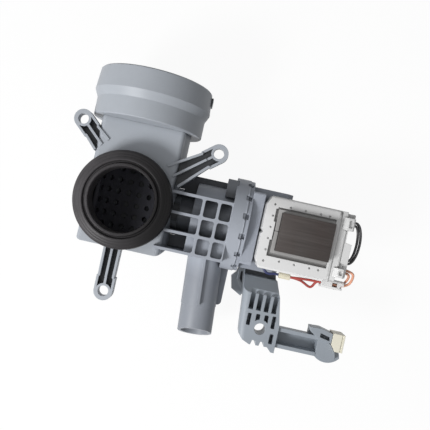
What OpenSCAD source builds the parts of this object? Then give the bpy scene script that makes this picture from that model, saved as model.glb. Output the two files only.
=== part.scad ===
// Washer drain pump: filter chamber, pump casing, synchronous motor and harness bracket.
// The origin lies on the inlet axis in the plane of the inlet neck's rim.
// +Z points out of the inlet, +X runs along the rotor axis and +Y along the filter axis.
// All sizes are in millimetres.

/* [Inlet] */
// Bore radius of the rubber inlet seal
seal_bore_r = 22.2; // [18:0.1:26]
// Wall of the seal inside the neck
seal_lip = 2.2; // [1.6:0.1:3]
// Width of the seal outside the neck
seal_skirt = 6.6; // [4:0.1:9]
// Height of the seal above the neck's rim
seal_rise = 4.4; // [3:0.1:7]
// Wall of the inlet neck
neck_wall = 2.6; // [1.8:0.1:4]
// Height of the neck above the flat top of the chamber
neck_h = 13; // [12:0.5:18]

/* [Filter chamber] */
// Flat margin of the chamber's top on each side of the neck
top_margin = 2.8; // [1:0.1:6]
// Bulge of the round belly beyond the flat sides
belly = 2.6; // [1.5:0.1:5]
// Height of the flat top above the filter axis
chamber_rise = 20; // [17:0.5:24]
// Distance from the inlet axis to the closed back
chamber_back = 34; // [31:0.5:42]
// Distance from the inlet axis to the collar
chamber_front = 55.5; // [50:0.5:65]
// Sideways offset of the filter axis from the inlet axis
filter_x = 1.2; // [-2:0.1:2]
// Wall of the chamber
chamber_wall = 2.6; // [1.8:0.1:3.4]

/* [Filter collar] */
// Ledge of the collar beyond the chamber's belly
collar_ledge = 7.4; // [6:0.1:10]
// Step from the narrow band to the wide band
collar_step = 2.6; // [2:0.1:5]
// Length of the narrow band
collar_narrow = 13; // [11:0.5:18]
// Length of the conical step
collar_cone = 5.5; // [3:0.5:8]
// Length of the wide band
collar_wide = 15.5; // [13:0.5:20]
// Wall of the collar
collar_wall = 3; // [2:0.1:4]

/* [Mounting lugs] */
// Outer radius of a lug eye
lug_eye_r = 6.7; // [5.5:0.1:9]
// Hole radius of a lug eye
lug_hole_r = 3.7; // [2.5:0.1:4.5]
// Thickness of a lug
lug_t = 7; // [5:0.5:10]
// Wall of a lug arm and half of its middle rib
lug_wall = 1.7; // [1.2:0.1:2.5]
// Depth of the two grooves in a lug arm
lug_groove = 5.5; // [2:0.5:6]
// Length of the wider end piece that carries a lug eye
lug_end = 10.5; // [9:0.5:13]
// Step in height and width between a lug arm and its end piece
lug_step = 0.8; // [0.4:0.1:1.5]

/* [Pump casing] */
// Radius of the impeller
impeller_r = 18; // [15:0.5:20]
// Gap between the impeller and the casing wall
casing_gap = 3.5; // [2.5:0.5:5]
// Wall of the pump casing
casing_wall = 3; // [2:0.1:4]
// Bore radius of the suction throat
throat_r = 12.5; // [9:0.5:14]
// Length of the suction throat
throat_len = 10; // [8:0.5:16]
// Length of the impeller casing
casing_len = 27.5; // [25:0.5:34]
// Length of the wide flange at the motor end
flange_len = 9.5; // [8:0.5:14]
// Step from the casing out to its flange
flange_step = 10; // [8:0.5:13]
// Height of the stiffening ribs above the casing's crown
rib_rise = 6.5; // [4:0.5:9]
// Thickness of the stiffening ribs
rib_t = 2; // [1.4:0.1:3]
// Outer radius of the outlet tube
outlet_r = 13; // [10:0.5:14]
// Wall of the outlet tube
outlet_wall = 2.5; // [1.8:0.1:3.5]
// Reach of the outlet tube from the rotor axis
outlet_reach = 86; // [72:1:110]
// Turn of the outlet tube towards the motor, in degrees
outlet_yaw = 4; // [0:0.5:8]
// Tilt of the outlet's end, so that its upper edge is the shorter one, in degrees
outlet_tilt = 22; // [0:1:30]

/* [Motor] */
// Radius of the rotor shaft
shaft_r = 2; // [1.5:0.1:2.6]
// Radius of the rotor magnet
magnet_r = 12.3; // [10:0.1:14]
// Wall of the rotor can
can_wall = 1.3; // [1:0.1:1.8]
// Thickness of the motor plate
plate_t = 8.5; // [7:0.5:12]
// Stack length of the stator core
core_len = 36; // [30:1:44]
// Width of a core leg
leg_w = 8; // [6:0.5:10]
// Height of the coil windings
coil_h = 15; // [12:0.5:20]
// Thickness of the yoke across the two legs
yoke_t = 8; // [6:0.5:10]
// Wall of the white coil cover
cover_wall = 2; // [1.4:0.1:2.6]

/* [Harness] */
// Width of the harness bracket at its root
bracket_w = 24; // [20:1:30]
// Reach of the bracket beyond its root
bracket_reach = 46; // [40:1:56]
// Thickness of the bracket
bracket_t = 14; // [10:0.5:18]
// Radius of the bracket's screw hole
bracket_hole_r = 4; // [2.5:0.1:4.5]
// Length of the cable arm
arm_len = 29; // [24:1:40]
// Radius of a lead over its insulation
lead_r = 0.9; // [0.6:0.1:1.1]

/* [Hidden] */
$fn = 96;

// Clearances
seat_gap = 0.2;
run_gap = 0.05;
slide_gap = 0.4;
weld_gap = 0.05;
press = 0.02;

// Colours
grey = [0.62, 0.65, 0.68];
white = [0.86, 0.86, 0.84];
rubber = [0.1, 0.09, 0.08];
steel = [0.32, 0.31, 0.3];
copper = [0.72, 0.4, 0.2];
brass = [0.75, 0.62, 0.3];

// Inlet and chamber, from the inlet axis outwards and from the rim downwards
neck_r = seal_bore_r + seal_lip + seat_gap;
neck_out = neck_r + neck_wall;
seal_r = neck_out + seat_gap + seal_skirt;
chamber_w = 2 * (neck_out + top_margin);
chamber_r = chamber_w / 2 + belly;
cavity_r = chamber_r - chamber_wall;
top_z = -neck_h;
filter_z = top_z - chamber_rise;
corner_r = 7;
edge_r = 3.2;

// Collar and filter
collar_low_r = chamber_r + collar_ledge;
collar_r = collar_low_r + collar_step;
collar_rim_r = collar_r - 1.2;
collar_bore_r = collar_low_r - collar_wall;
collar_mouth_r = collar_bore_r + 2.4;
collar_y1 = chamber_front + collar_narrow;
collar_y2 = collar_y1 + collar_cone;
collar_y3 = collar_y2 + collar_wide;
base_z = filter_z - collar_r;
cap_r = collar_bore_r - slide_gap;
cap_y0 = chamber_front + 6.3;
cap_seat_y = collar_y2 - 0.6;
cap_flange_t = 3;
cap_face_y = cap_seat_y + cap_flange_t;
handle_h = collar_y3 - cap_face_y - 2.5;
cord_r = 1.5;
ring_r = collar_bore_r - 0.3 - cord_r;
basket_r = cavity_r - 1.2;
basket_t = 2;
basket_y0 = -chamber_back + chamber_wall + 3;
basket_y1 = chamber_front + 3.5;
basket_lip = chamber_rise - chamber_wall - 2.4;
hub_r = 4;

// Lugs: eye and root of each arm in the plan, and the arm's width at its root
lug_z = top_z + 1;
side_x = chamber_w / 2;
left_eye = [-side_x - 11, chamber_front - 5.8];
left_root = [-side_x + 5.5, chamber_front - 21];
right_eye = [side_x + 27, chamber_front - 9.5];
right_root = [side_x - 1.5, chamber_front - 32];
back_eye = [-1.7, -chamber_back - 31.3];
back_root = [-1.7, -chamber_back + 1];
lugs = [[left_eye, left_root, 13.5], [right_eye, right_root, 18], [back_eye, back_root, 12.2]];

// Pump casing along the rotor axis
casing_r = impeller_r + casing_gap;
volute_r = casing_r + casing_wall;
flange_r = volute_r + flange_step;
socket_r = flange_r - 3.5;
rotor_z = base_z + flange_r + 0.5;
port_x = filter_x + chamber_r + 3.4;
port_r = throat_r + casing_wall;
volute_x = port_x + throat_len;
flange_x = volute_x + casing_len;
joint_x = flange_x + flange_len;
plate_x = joint_x + 3;
outlet_x = volute_x + 14;
spigot_len = 21;
grid_z = rotor_z + volute_r + rib_rise;
grid_x = [volute_x + 7, volute_x + 18];
grid_y = [13.5, -0.5, -14, -27];
crest_z = rotor_z + volute_r + 1;
web_y = flange_r - 5.5;

// Motor along the rotor axis
can_in = magnet_r + 0.6;
can_out = can_in + can_wall;
pole_r = can_out + 0.4;
plate_x1 = plate_x + plate_t;
plate_y = 26;
plate_h = 27;
cover_x = plate_x1 + 1;
core_x = cover_x + 11.5;
core_x1 = core_x + core_len;
cover_x1 = core_x1 + 8;
term_x1 = cover_x1 + 6.7;
lug_x1 = term_x1 - 1.4;
can_x1 = core_x1 + 5;
leg_in = 5;
coil_y = 1.9;
yoke_w = 2 * (leg_in + leg_w);
pole_h = pole_r + 3.4;
pole_y = pole_r + 7.4;
coil_z = rotor_z + pole_h + 1;
bobbin_t = 1.2;
coil_top = coil_z + coil_h + 2 * bobbin_t;
yoke_z = coil_top + 0.3;
wind_out = 4.6;
wind_end = 3.4;
cover_z1 = coil_top + 0.3 + cover_wall;
cover_z0 = coil_z - 6;
cover_y = leg_in + leg_w + 12;
step_x = core_x1 + 2.5;
edge_round = 1.6;
rim_w = 2.8;
pin_xs = [4.7, 15, 25.6, 31.8];
bearing_r = 5;
front_x = plate_x - 4.5;
rear_x = core_x1 - 1;
spigot_r = socket_r - seat_gap;
arm_y = plate_y;
arm_out = plate_y + 4;
mount_arm_x = plate_x1 + 21.5;
mount_arm_z = rotor_z + 11;

// Impeller hub and the claw that drives it
hub_out = 9.2;
claw_r = 7;
claw_x = flange_x + 0.5;
claw_len = 5;
vane_x = volute_x + casing_wall + 3.5;

// Harness bracket
bracket_z = lug_z - 2;
root_x = plate_x1 - 2.5;
root_y = -arm_out;
crest_y = root_y - 14;
plate_end_y = root_y - 4 - bracket_reach;
hole_x = root_x + 18.4;
hole_y = plate_end_y + 12;
arm_x = root_x + bracket_w + 7.5;
arm_y0 = plate_end_y + 2;
arm_w = 13;
arm_z = bracket_z - 2;
con_x = arm_x + arm_len + 9.5;
con_y = arm_y0 + 5.6;
con_w = 12.6;
con_len = 8.6;
con_wall = 1.5;
jaw_y = arm_y0 + arm_w;
flute_x = root_x + 7.3;
flute_w = 3.4;
flute_pitch = 5.5;
flute_count = 4;
flute_len = 11.5;
hook_w = 4.8;
hook_xs = [root_x + 5.5, root_x + 13.5];
boss_r = bracket_hole_r + 2.6;
slot_depth = 9;

// Leads and their fixings along the cover's near side
clip_x = cover_x1 - 4.4;
clip_seat = 2;
clip_y = clip_seat - cover_y;
clip_len = 16;
hold_y = clip_y - 3.4;
fuse_r = 2.4;
fuse_len = 8.2;
fuse_x = core_x + 8.4;
lead_y = -cover_y - seat_gap - fuse_r - 0.4;
lead_z = cover_z0 + 10.9;
blade_z = cover_z1 - 7;
high_term_y = 12.8;
low_term_y = -19.9;

// Cylinder along X on the rotor axis
module shaftwise(r, x0, x1) {
    translate([x0, 0, rotor_z]) rotate([0, 90, 0]) cylinder(r = r, h = x1 - x0);
}

// Cylinder along Y on the filter axis
module filterwise(r, y0, y1) {
    translate([filter_x, y0, filter_z]) rotate([-90, 0, 0]) cylinder(r = r, h = y1 - y0);
}

// Box from its two corners
module block(a, b) {
    translate(a) cube(b - a);
}

// Plan rectangle with round corners
module round_rect(x0, y0, x1, y1, r) {
    translate([x0 + r, y0]) square([x1 - x0 - 2 * r, y1 - y0]);
    translate([x0, y0 + r]) square([x1 - x0, y1 - y0 - 2 * r]);
    for (x = [x0 + r, x1 - r], y = [y0 + r, y1 - r]) translate([x, y]) circle(r = r);
}

// Section of the chamber across the filter axis
module chamber_section(grow) {
    difference() {
        circle(r = chamber_r + grow);
        translate([-chamber_r - 5, 0]) square([2 * chamber_r + 10, chamber_r + 5]);
    }
    intersection() {
        circle(r = chamber_r + grow);
        translate([-chamber_r - 5, -1]) square([2 * chamber_r + 10, chamber_rise - edge_r + 1]);
    }
    round_rect(-chamber_w / 2 - grow, -8, chamber_w / 2 + grow, chamber_rise + grow, edge_r + grow);
}

// Chamber from its closed back to y1, with the back corners rounded in the plan
module chamber_solid(grow, y1) {
    intersection() {
        translate([filter_x, y1, filter_z]) rotate([90, 0, 0])
            linear_extrude(y1 + chamber_back + grow) chamber_section(grow);
        translate([filter_x, 0, filter_z - chamber_r - 5]) linear_extrude(2 * chamber_r + 10)
            round_rect(-chamber_r - grow, -chamber_back - grow, chamber_r + grow,
                y1 + corner_r + 1, corner_r + grow);
    }
}

// One lug arm, drawn along X from its root: a tapered channel with a middle rib, then a lower and
// wider end piece with the eye. The grooves run on to the chamber's top and stop at the eye's ring.
module lug_arm(eye, root, root_w) {
    run = norm(eye - root);
    end_x = run - lug_end;
    half = root_w / 2;
    tip = lug_eye_r - lug_step;
    low_t = lug_t - lug_step;
    translate([root[0], root[1], lug_z - lug_t])
        rotate(atan2(eye[1] - root[1], eye[0] - root[0])) difference() {
            union() {
                linear_extrude(lug_t) polygon([[0, -half], [end_x, -tip], [end_x + lug_step, -tip],
                    [end_x + lug_step, tip], [end_x, tip], [0, half]]);
                translate([end_x, -lug_eye_r, 0]) cube([lug_end, 2 * lug_eye_r, low_t]);
                translate([run, 0, 0]) cylinder(r = lug_eye_r, h = low_t);
            }
            for (s = [-1, 1]) translate([0, 0, lug_t - lug_groove])
                linear_extrude(lug_groove + 1) difference() {
                    polygon([[-1, s * lug_wall / 2], [run, s * lug_wall / 2],
                        [run, s * (lug_eye_r - lug_wall)], [end_x + 1, s * (lug_eye_r - lug_wall)],
                        [end_x, s * (tip - lug_wall)], [-1, s * (half - lug_wall)]]);
                    translate([run, 0]) circle(r = lug_hole_r + lug_wall);
                }
            translate([run, 0, -1]) cylinder(r = lug_hole_r, h = lug_t + 2);
        }
}

// Filter chamber with the inlet neck, three lugs and the port to the pump
module filter_housing() color(grey) difference() {
    union() {
        chamber_solid(0, chamber_front);
        translate([0, 0, top_z - 1]) cylinder(r = neck_out, h = neck_h + 1);
        translate([0, 0, top_z - 1]) cylinder(r = neck_out + 1.6, h = 2.6);
        shaftwise(port_r + 2, port_x - 13.4, port_x);
        for (g = lugs) lug_arm(g[0], g[1], g[2]);
        // Sloped gussets under the two side lugs
        gusset(left_eye, left_root);
        gusset(right_eye, right_root);
    }
    chamber_solid(-chamber_wall, chamber_front + 1);
    translate([0, 0, top_z - chamber_wall - 1]) cylinder(r = neck_r, h = neck_h + chamber_wall + 2);
    shaftwise(throat_r, port_x - 17.4, port_x + 1);
}

// Triangular web from a lug arm down to the chamber's side
module gusset(eye, root) {
    run = norm(eye - root);
    translate([root[0], root[1], lug_z - lug_t + 1])
        rotate([90, 0, atan2(eye[1] - root[1], eye[0] - root[0])])
            translate([0, 0, -rib_t / 2]) linear_extrude(rib_t)
                polygon([[0, 0], [run - lug_eye_r, 0], [run - lug_eye_r, -1], [0, -16]]);
}

// Ring that carries the filter cap, welded to the chamber's open end
module filter_collar() color(grey) difference() {
    union() {
        translate([filter_x, 0, filter_z]) rotate([-90, 0, 0]) rotate_extrude() polygon([
            [0, chamber_front], [collar_low_r - 0.6, chamber_front],
            [collar_low_r, chamber_front + 0.6], [collar_low_r, collar_y1],
            [collar_r, collar_y2], [collar_rim_r, collar_y3 - 0.8],
            [collar_rim_r - 0.8, collar_y3], [0, collar_y3]]);
        // Stop tab on the rim
        translate([filter_x, 0, filter_z])
            block([collar_rim_r - 2, collar_y3 - 9, -4], [collar_rim_r + 1.6, collar_y3 - 3, 4]);
    }
    translate([filter_x, 0, filter_z]) rotate([-90, 0, 0]) rotate_extrude() polygon([
        [0, chamber_front + collar_wall], [collar_bore_r, chamber_front + collar_wall],
        [collar_bore_r, collar_y2 - 3.2], [collar_mouth_r, collar_y2 - 0.8],
        [collar_mouth_r, collar_y3 - 0.7], [collar_mouth_r + 0.8, collar_y3 + 0.1],
        [0, collar_y3 + 0.1]]);
    chamber_solid(-chamber_wall, chamber_front + collar_wall + 1);
}

// Rubber seal that caps the neck's rim and opens into a lip round the inlet
module inlet_seal() {
    bore = seal_bore_r;
    top = seal_rise;
    low = -0.4 * neck_h;
    slope = seal_r - bore - 6;
    color(rubber) rotate_extrude() polygon([
        [bore, -0.7 * neck_h], [bore, top - 1.2], [bore + 0.4, top - 0.4], [bore + 1.2, top],
        [bore + 2, top], [bore + 2.8, top - 1.6], [bore + 3.6, top - 1.6], [bore + 4.4, top - 0.2],
        [bore + 5, top], [bore + 6, top - 0.1],
        [bore + 6 + 0.35 * slope, top - 0.06 * (top - low)],
        [bore + 6 + 0.65 * slope, top - 0.25 * (top - low)],
        [bore + 6 + 0.85 * slope, top - 0.52 * (top - low)],
        [bore + 6 + 0.96 * slope, top - 0.78 * (top - low)],
        [seal_r, low], [seal_r - 0.8, low - 1.5], [seal_r - 3.2, low - 1.7],
        [neck_out + seat_gap + 2, -0.8 * neck_h], [neck_out + seat_gap, -0.8 * neck_h],
        [neck_out + seat_gap, seat_gap], [neck_r - seat_gap, seat_gap],
        [neck_r - seat_gap, -0.7 * neck_h]]);
}

// Perforated trough that catches lint, open to the inlet above it
module filter_basket() color([0.12, 0.12, 0.13]) difference() {
    union() {
        filterwise(basket_r, basket_y0, basket_y1);
        filterwise(basket_r, basket_y1 - 0.01, basket_y1 + 2.4);
    }
    filterwise(basket_r - basket_t, basket_y0 + basket_t, basket_y1);
    translate([filter_x, 0, filter_z])
        block([-basket_r - 1, basket_y0 - 1, basket_lip], [basket_r + 1, basket_y1 - 0.2, basket_r + 1]);
    filterwise(hub_r + 0.3, basket_y1 - 1, basket_y1 + 3);
    for (a = [-72:18:72], y = [basket_y0 + 7:9:basket_y1 - 6])
        translate([filter_x, y, filter_z]) rotate([0, a, 0]) translate([0, 0, -basket_r - 1])
            cylinder(d = 4.4, h = basket_t + 3, $fn = 12);
    // Round holes in the closed back
    for (x = [-18:9:18], z = [-18:9:9]) translate([filter_x + x, basket_y0 - 1, filter_z + z])
        rotate([-90, 0, 0]) cylinder(d = 4.4, h = basket_t + 2, $fn = 12);
}

// Turning plug with a grip bar, recessed in the collar
module filter_cap() color(grey) difference() {
    union() {
        filterwise(cap_r, cap_y0, cap_seat_y);
        filterwise(collar_mouth_r - slide_gap, cap_seat_y, cap_face_y);
        grip();
        // Stub with a snap head that holds the basket
        filterwise(hub_r, basket_y1 - 2.6, cap_y0 + 1);
        translate([filter_x, basket_y1 - 3.4, filter_z]) rotate([-90, 0, 0])
            cylinder(r1 = hub_r, r2 = hub_r + 1.4, h = 3);
    }
    // Groove for the sealing ring
    translate([filter_x, 0, filter_z]) rotate([-90, 0, 0]) rotate_extrude()
        translate([ring_r - cord_r - 0.05, cap_y0 + 2.4]) square([3 * cord_r, 2 * cord_r + 0.4]);
    // Hollow ring behind the face
    translate([filter_x, 0, filter_z]) rotate([-90, 0, 0]) rotate_extrude()
        translate([hub_r + 3, cap_y0 - 1]) square([cap_r - hub_r - 9, cap_seat_y - cap_y0 - 1]);
}

// Grip bar across the cap, waisted in the middle so that fingers reach behind it
module grip() {
    half = collar_mouth_r - slide_gap - 3;
    translate([filter_x, cap_face_y - 0.5, filter_z]) rotate([-90, 0, 0]) difference() {
        linear_extrude(handle_h + 0.5) round_rect(-half, -6, half, 6, 3);
        for (s = [-1, 1]) translate([0, s * (26 + 2.6), -1]) cylinder(r = 26, h = handle_h + 3);
    }
}

// Sealing ring in the cap's groove
module filter_cap_seal() color(rubber) translate([filter_x, cap_y0 + 2.6 + cord_r, filter_z])
    rotate([-90, 0, 0]) rotate_extrude() translate([ring_r, 0]) circle(r = cord_r);

// Casing round the impeller with the suction throat, the outlet tube and the rib grid
module volute_casing() color(grey) difference() {
    union() {
        shaftwise(volute_r, volute_x, flange_x + 1);
        shaftwise(flange_r, flange_x, joint_x);
        shaftwise(port_r, port_x, volute_x + 1);
        rib_grid();
        // Web at the mould's parting plane that closes the first column of cells and runs on to the flange
        block([side_x - 4, grid_y[3], rotor_z - 1], [flange_x + 1, web_y, rotor_z + 1.5]);
        // Side walls of the first column, down to the web
        for (y = [grid_y[0], grid_y[3]])
            block([side_x - 4, y - rib_t / 2, rotor_z], [volute_x + 1, y + rib_t / 2, rotor_z + port_r]);
        // Crest of the scroll, which rises under the last row of cells towards the outlet
        block([volute_x, grid_y[3], rotor_z], [flange_x + 1, grid_y[2], crest_z]);
        outlet_outside();
        // Square shoulder on the far side of the flange
        block([flange_x - 7, 18, rotor_z + 12], [flange_x + 1, socket_r, rotor_z + 21]);
        // Locating tongue beside the outlet
        block([joint_x - 8.5, -flange_r - 25, rotor_z - 6], [joint_x - 2, -flange_r + 3, rotor_z - 2]);
        translate([joint_x - 5.25, -flange_r - 25, rotor_z - 6]) cylinder(d = 6.5, h = 4);
    }
    shaftwise(casing_r, volute_x + casing_wall, joint_x + 1);
    block([volute_x + casing_wall, grid_y[3] + casing_wall, rotor_z + 1],
        [flange_x - casing_wall, grid_y[2] - casing_wall, crest_z - casing_wall]);
    shaftwise(socket_r, flange_x + 1.5, joint_x + 1);
    shaftwise(throat_r, port_x - 1, volute_x + casing_wall + 1);
    outlet_bore();
    chamber_solid(weld_gap, chamber_front);
    // Room for the foot of the inlet seal
    translate([0, 0, top_z - seat_gap]) cylinder(r = neck_out + seat_gap + 3.1, h = neck_h);
    // Weld face against the chamber's port
    shaftwise(port_r + 2 + seat_gap, port_x - 8, port_x);
    // Six shallow snap slots round the joint
    for (a = [-60:24:60]) translate([joint_x, 0, rotor_z]) rotate([a, 0, 0])
        block([-1.6, -2, flange_r - 1.2], [1, 2, flange_r + 1]);
}

// Stiffening ribs between the chamber and the motor flange: a block with rounded cells
module rib_grid() {
    low = rotor_z + port_r - 6;
    xs = concat([side_x - 12], grid_x, [flange_x + rib_t / 2 - 0.4]);
    translate([0, 0, low]) linear_extrude(grid_z - low) difference() {
        translate([side_x - 4, grid_y[3] - rib_t / 2])
            square([flange_x - side_x + 4.5, grid_y[0] - grid_y[3] + rib_t]);
        for (i = [0:2], k = [0:2])
            round_rect(xs[i] + rib_t / 2, grid_y[k + 1] + rib_t / 2,
                xs[i + 1] - rib_t / 2, grid_y[k] - rib_t / 2, 1.6);
    }
}

// Outlet tube with its rib and an oblique end
module outlet_outside() {
    slant = outlet_r * tan(outlet_tilt);
    translate([outlet_x, 0, rotor_z]) rotate([90, 0, outlet_yaw]) difference() {
        union() {
            translate([0, 0, volute_r - 14])
                cylinder(r = outlet_r + 0.3, h = outlet_reach - spigot_len - volute_r + 14);
            translate([0, 0, volute_r - 14]) cylinder(r = outlet_r, h = outlet_reach + slant - volute_r + 14);
            translate([-rib_t / 2, outlet_r - 1, volute_r - 6])
                cube([rib_t, 4, outlet_reach - spigot_len - volute_r + 4]);
        }
        translate([0, 0, outlet_reach]) rotate([-outlet_tilt, 0, 0])
            translate([-2 * outlet_r, -2 * outlet_r, 0]) cube([4 * outlet_r, 4 * outlet_r, 2 * outlet_r]);
    }
}

// Bore of the outlet tube into the casing
module outlet_bore() {
    translate([outlet_x, 0, rotor_z]) rotate([90, 0, outlet_yaw])
        translate([0, 0, casing_r - 10]) cylinder(r = outlet_r - outlet_wall, h = outlet_reach + 10);
}

// Impeller with straight vanes, because the motor may start in either direction
module impeller() color([0.75, 0.76, 0.74]) difference() {
    union() {
        shaftwise(hub_out, vane_x + 10, claw_x + claw_len + 1);
        shaftwise(impeller_r, vane_x + 12, vane_x + 14);
        shaftwise(shaft_r + 3, vane_x, claw_x);
        for (a = [0:60:300]) translate([vane_x + 1, 0, rotor_z]) rotate([a, 0, 0])
            block([0, -1, shaft_r], [12, 1, impeller_r - 0.5]);
    }
    shaftwise(shaft_r + run_gap, vane_x - 1, claw_x + claw_len + 2);
    difference() {
        shaftwise(claw_r + 0.4, claw_x, claw_x + claw_len + 2);
        // Stop that the claw meets at either end of its free turn
        translate([claw_x - 1, 0, rotor_z]) rotate([90, 0, 90]) linear_extrude(claw_len + 4)
            polygon([[2.6, -1.8], [claw_r + 2, -3.4], [claw_r + 2, 3.4], [2.6, 1.8]]);
    }
    shaftwise(shaft_r + 2.6, claw_x, claw_x + claw_len + 2);
}

// Claw on the shaft, with lost motion inside the impeller's hub
module drive_dog() color([0.2, 0.2, 0.21]) difference() {
    union() {
        shaftwise(shaft_r + 2.2, claw_x + 0.4, claw_x + claw_len + 0.8);
        intersection() {
            shaftwise(claw_r - 0.1, claw_x + 0.4, claw_x + claw_len + 0.8);
            translate([claw_x, 0, rotor_z]) rotate([90, 0, 90]) linear_extrude(claw_len + 1)
                polygon([[-2.6, -1.8], [-claw_r - 1, -3.2], [-claw_r - 1, 3.2], [-2.6, 1.8]]);
        }
    }
    shaftwise(shaft_r - press, claw_x - 1, claw_x + claw_len + 2);
}

// Steel shaft of the rotor
module rotor_shaft() color([0.75, 0.76, 0.78]) {
    shaftwise(shaft_r, vane_x - 2.5, rear_x + 4.6);
}

// Permanent magnet of the rotor
module rotor_magnet() color([0.16, 0.16, 0.17]) difference() {
    shaftwise(magnet_r, core_x - 6, rear_x - 1.4);
    shaftwise(shaft_r - press, core_x - 7, rear_x);
}

// Sintered bushes that carry the shaft
module bush(x0, x1) {
    difference() {
        shaftwise(bearing_r, x0, x1);
        shaftwise(shaft_r + run_gap, x0 - 1, x1 + 1);
    }
}
module front_bearing() color(brass) bush(front_x, front_x + 6);
module rear_bearing() color(brass) bush(rear_x, rear_x + 4.4);

// Sealing ring between the casing socket and the motor's spigot
module casing_seal() color(rubber) translate([flange_x + 5.5, 0, rotor_z]) rotate([0, 90, 0])
    rotate_extrude() translate([spigot_r - 1.2, 0]) circle(r = 1.25);

// Motor plate with the rotor can, the spigot, the locking ring and the side arms
module motor_mount() color(grey) {
    motor_plate();
    // Shelf under the cover's front corners
    for (s = [-1, 1]) mirror([0, s < 0 ? 1 : 0, 0])
        block([plate_x1 - 1, 12.5, mount_arm_z - 3], [cover_x + 5, arm_y + 1, mount_arm_z]);
}
module motor_plate() difference() {
    union() {
        translate([plate_x, 0, 0]) rotate([90, 0, 90]) linear_extrude(plate_t)
            round_rect(-plate_y, base_z, plate_y, rotor_z + plate_h, 2);
        shaftwise(spigot_r, flange_x + 2, plate_x + 1);
        locking_ring();
        shaftwise(can_out, plate_x1 - 1, can_x1);
        for (s = [-1, 1]) side_arm(s);
    }
    // Hollow of the spigot behind the impeller
    shaftwise(spigot_r - 3.6, flange_x + 1, front_x + 0.6);
    // Rotor chamber
    shaftwise(can_in, front_x + 8, rear_x - 1);
    shaftwise(bearing_r - press, front_x - 1, front_x + 9);
    shaftwise(bearing_r - press, rear_x - 2, can_x1 - 0.6);
    // Groove for the casing seal
    translate([flange_x + 5.5, 0, rotor_z]) rotate([0, 90, 0]) rotate_extrude()
        translate([spigot_r - 2.5, -1.5]) square([4, 3]);
    // Pockets that lighten the plate, open to the motor side
    for (s = [-1, 1], z = [base_z + 4, rotor_z - 12.5, rotor_z + 4])
        block([plate_x + 3, s * 20.5 - 3.8, z], [plate_x1 + 1, s * 20.5 + 3.8, z + 13]);
    // Slots for the bracket's two hooks
    for (x = hook_xs) block([x - hook_w / 2 - seat_gap, -arm_out - 1, mount_arm_z - 9.2],
        [x + hook_w / 2 + seat_gap, -arm_y + 1, mount_arm_z - 4.8]);
}

// Ring of windows between the casing flange and the motor plate
module locking_ring() {
    difference() {
        shaftwise(flange_r - 0.6, joint_x + 0.1, plate_x + 0.5);
        for (a = [0:24:336]) translate([joint_x, 0, rotor_z]) rotate([a + 12, 0, 0])
            block([-1, -1.9, flange_r - 3.2], [plate_x - joint_x - 0.6, 1.9, flange_r + 1]);
    }
}

// One side arm along the motor, with a pad that holds the core
module side_arm(s) {
    mirror([0, s < 0 ? 1 : 0, 0]) {
        translate([0, arm_out, 0]) rotate([90, 0, 0]) linear_extrude(arm_out - arm_y) polygon([
            [plate_x, base_z], [mount_arm_x - 8, base_z], [mount_arm_x, base_z + 10],
            [mount_arm_x, mount_arm_z - 4], [mount_arm_x - 4, mount_arm_z], [plate_x, mount_arm_z]]);
        block([core_x + 2, pole_y + seat_gap, rotor_z - 12], [core_x + 6, arm_y + 1, rotor_z + 6]);
        block([plate_x1 - 1, arm_y - 3, mount_arm_z - 3], [mount_arm_x - 5, arm_y + 1, mount_arm_z]);
    }
}

// Stack of U-shaped laminations: yoke, two legs and the poles round the rotor can
module stator_core() color(steel) translate([core_x, 0, 0]) rotate([90, 0, 90])
    linear_extrude(core_len) difference() {
        union() {
            translate([coil_y - yoke_w / 2, yoke_z]) square([yoke_w, yoke_t]);
            for (s = [-1, 1]) translate([coil_y + s * (leg_in + leg_w / 2) - leg_w / 2, rotor_z])
                square([leg_w, yoke_z - rotor_z + 1]);
            for (s = [-1, 1]) translate([s * (pole_y + 2) / 2 - (pole_y - 2) / 2, rotor_z - pole_h])
                square([pole_y - 2, 2 * pole_h]);
        }
        translate([0, rotor_z]) circle(r = pole_r);
    }

// Bobbin of one leg: a sleeve with two flanges
module bobbin(s) {
    y0 = leg_in - seat_gap;
    y1 = leg_in + leg_w + seat_gap;
    mirror([0, s < 0 ? 1 : 0, 0]) difference() {
        union() {
            block([core_x - 1.2, y0 - 1, coil_z], [core_x1 + 1.2, y1 + 1, coil_top]);
            for (z = [coil_z, coil_top - bobbin_t])
                block([core_x - 1.2 - wind_end - 0.4, 0.15, z],
                    [core_x1 + 1.2 + wind_end + 0.4, y1 + 1 + wind_out + 0.4, z + bobbin_t]);
            // Rim that frames the yoke in the cover's window
            block([core_x - rim_w, 0.15, coil_top - 0.1], [core_x1 + 0.6, y1 + rim_w - 1, cover_z1 - 0.5]);
        }
        block([core_x - seat_gap, y0, coil_z - 1], [core_x1 + seat_gap, y1, coil_top + 1]);
        block([core_x - seat_gap, 0, yoke_z - 0.3], [core_x1 + seat_gap, y1, cover_z1]);
    }
}
module coil_bobbins() color([0.8, 0.8, 0.78]) translate([0, coil_y, 0]) for (s = [-1, 1]) bobbin(s);

// Winding of one leg, filling the bobbin between its flanges
module winding(s) {
    y0 = leg_in - seat_gap - 1.1;
    y1 = leg_in + leg_w + seat_gap + 1.1;
    mirror([0, s < 0 ? 1 : 0, 0]) translate([0, 0, coil_z + bobbin_t + 0.1])
        linear_extrude(coil_h - 0.2) difference() {
            round_rect(core_x - 1.3 - wind_end, 0.4, core_x1 + 1.3 + wind_end, y1 + wind_out, 1.6);
            translate([core_x - 1.3, y0]) square([core_len + 2.6, y1 - y0]);
        }
}
module coil_windings() color(copper) translate([0, coil_y, 0]) for (s = [-1, 1]) winding(s);

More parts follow.
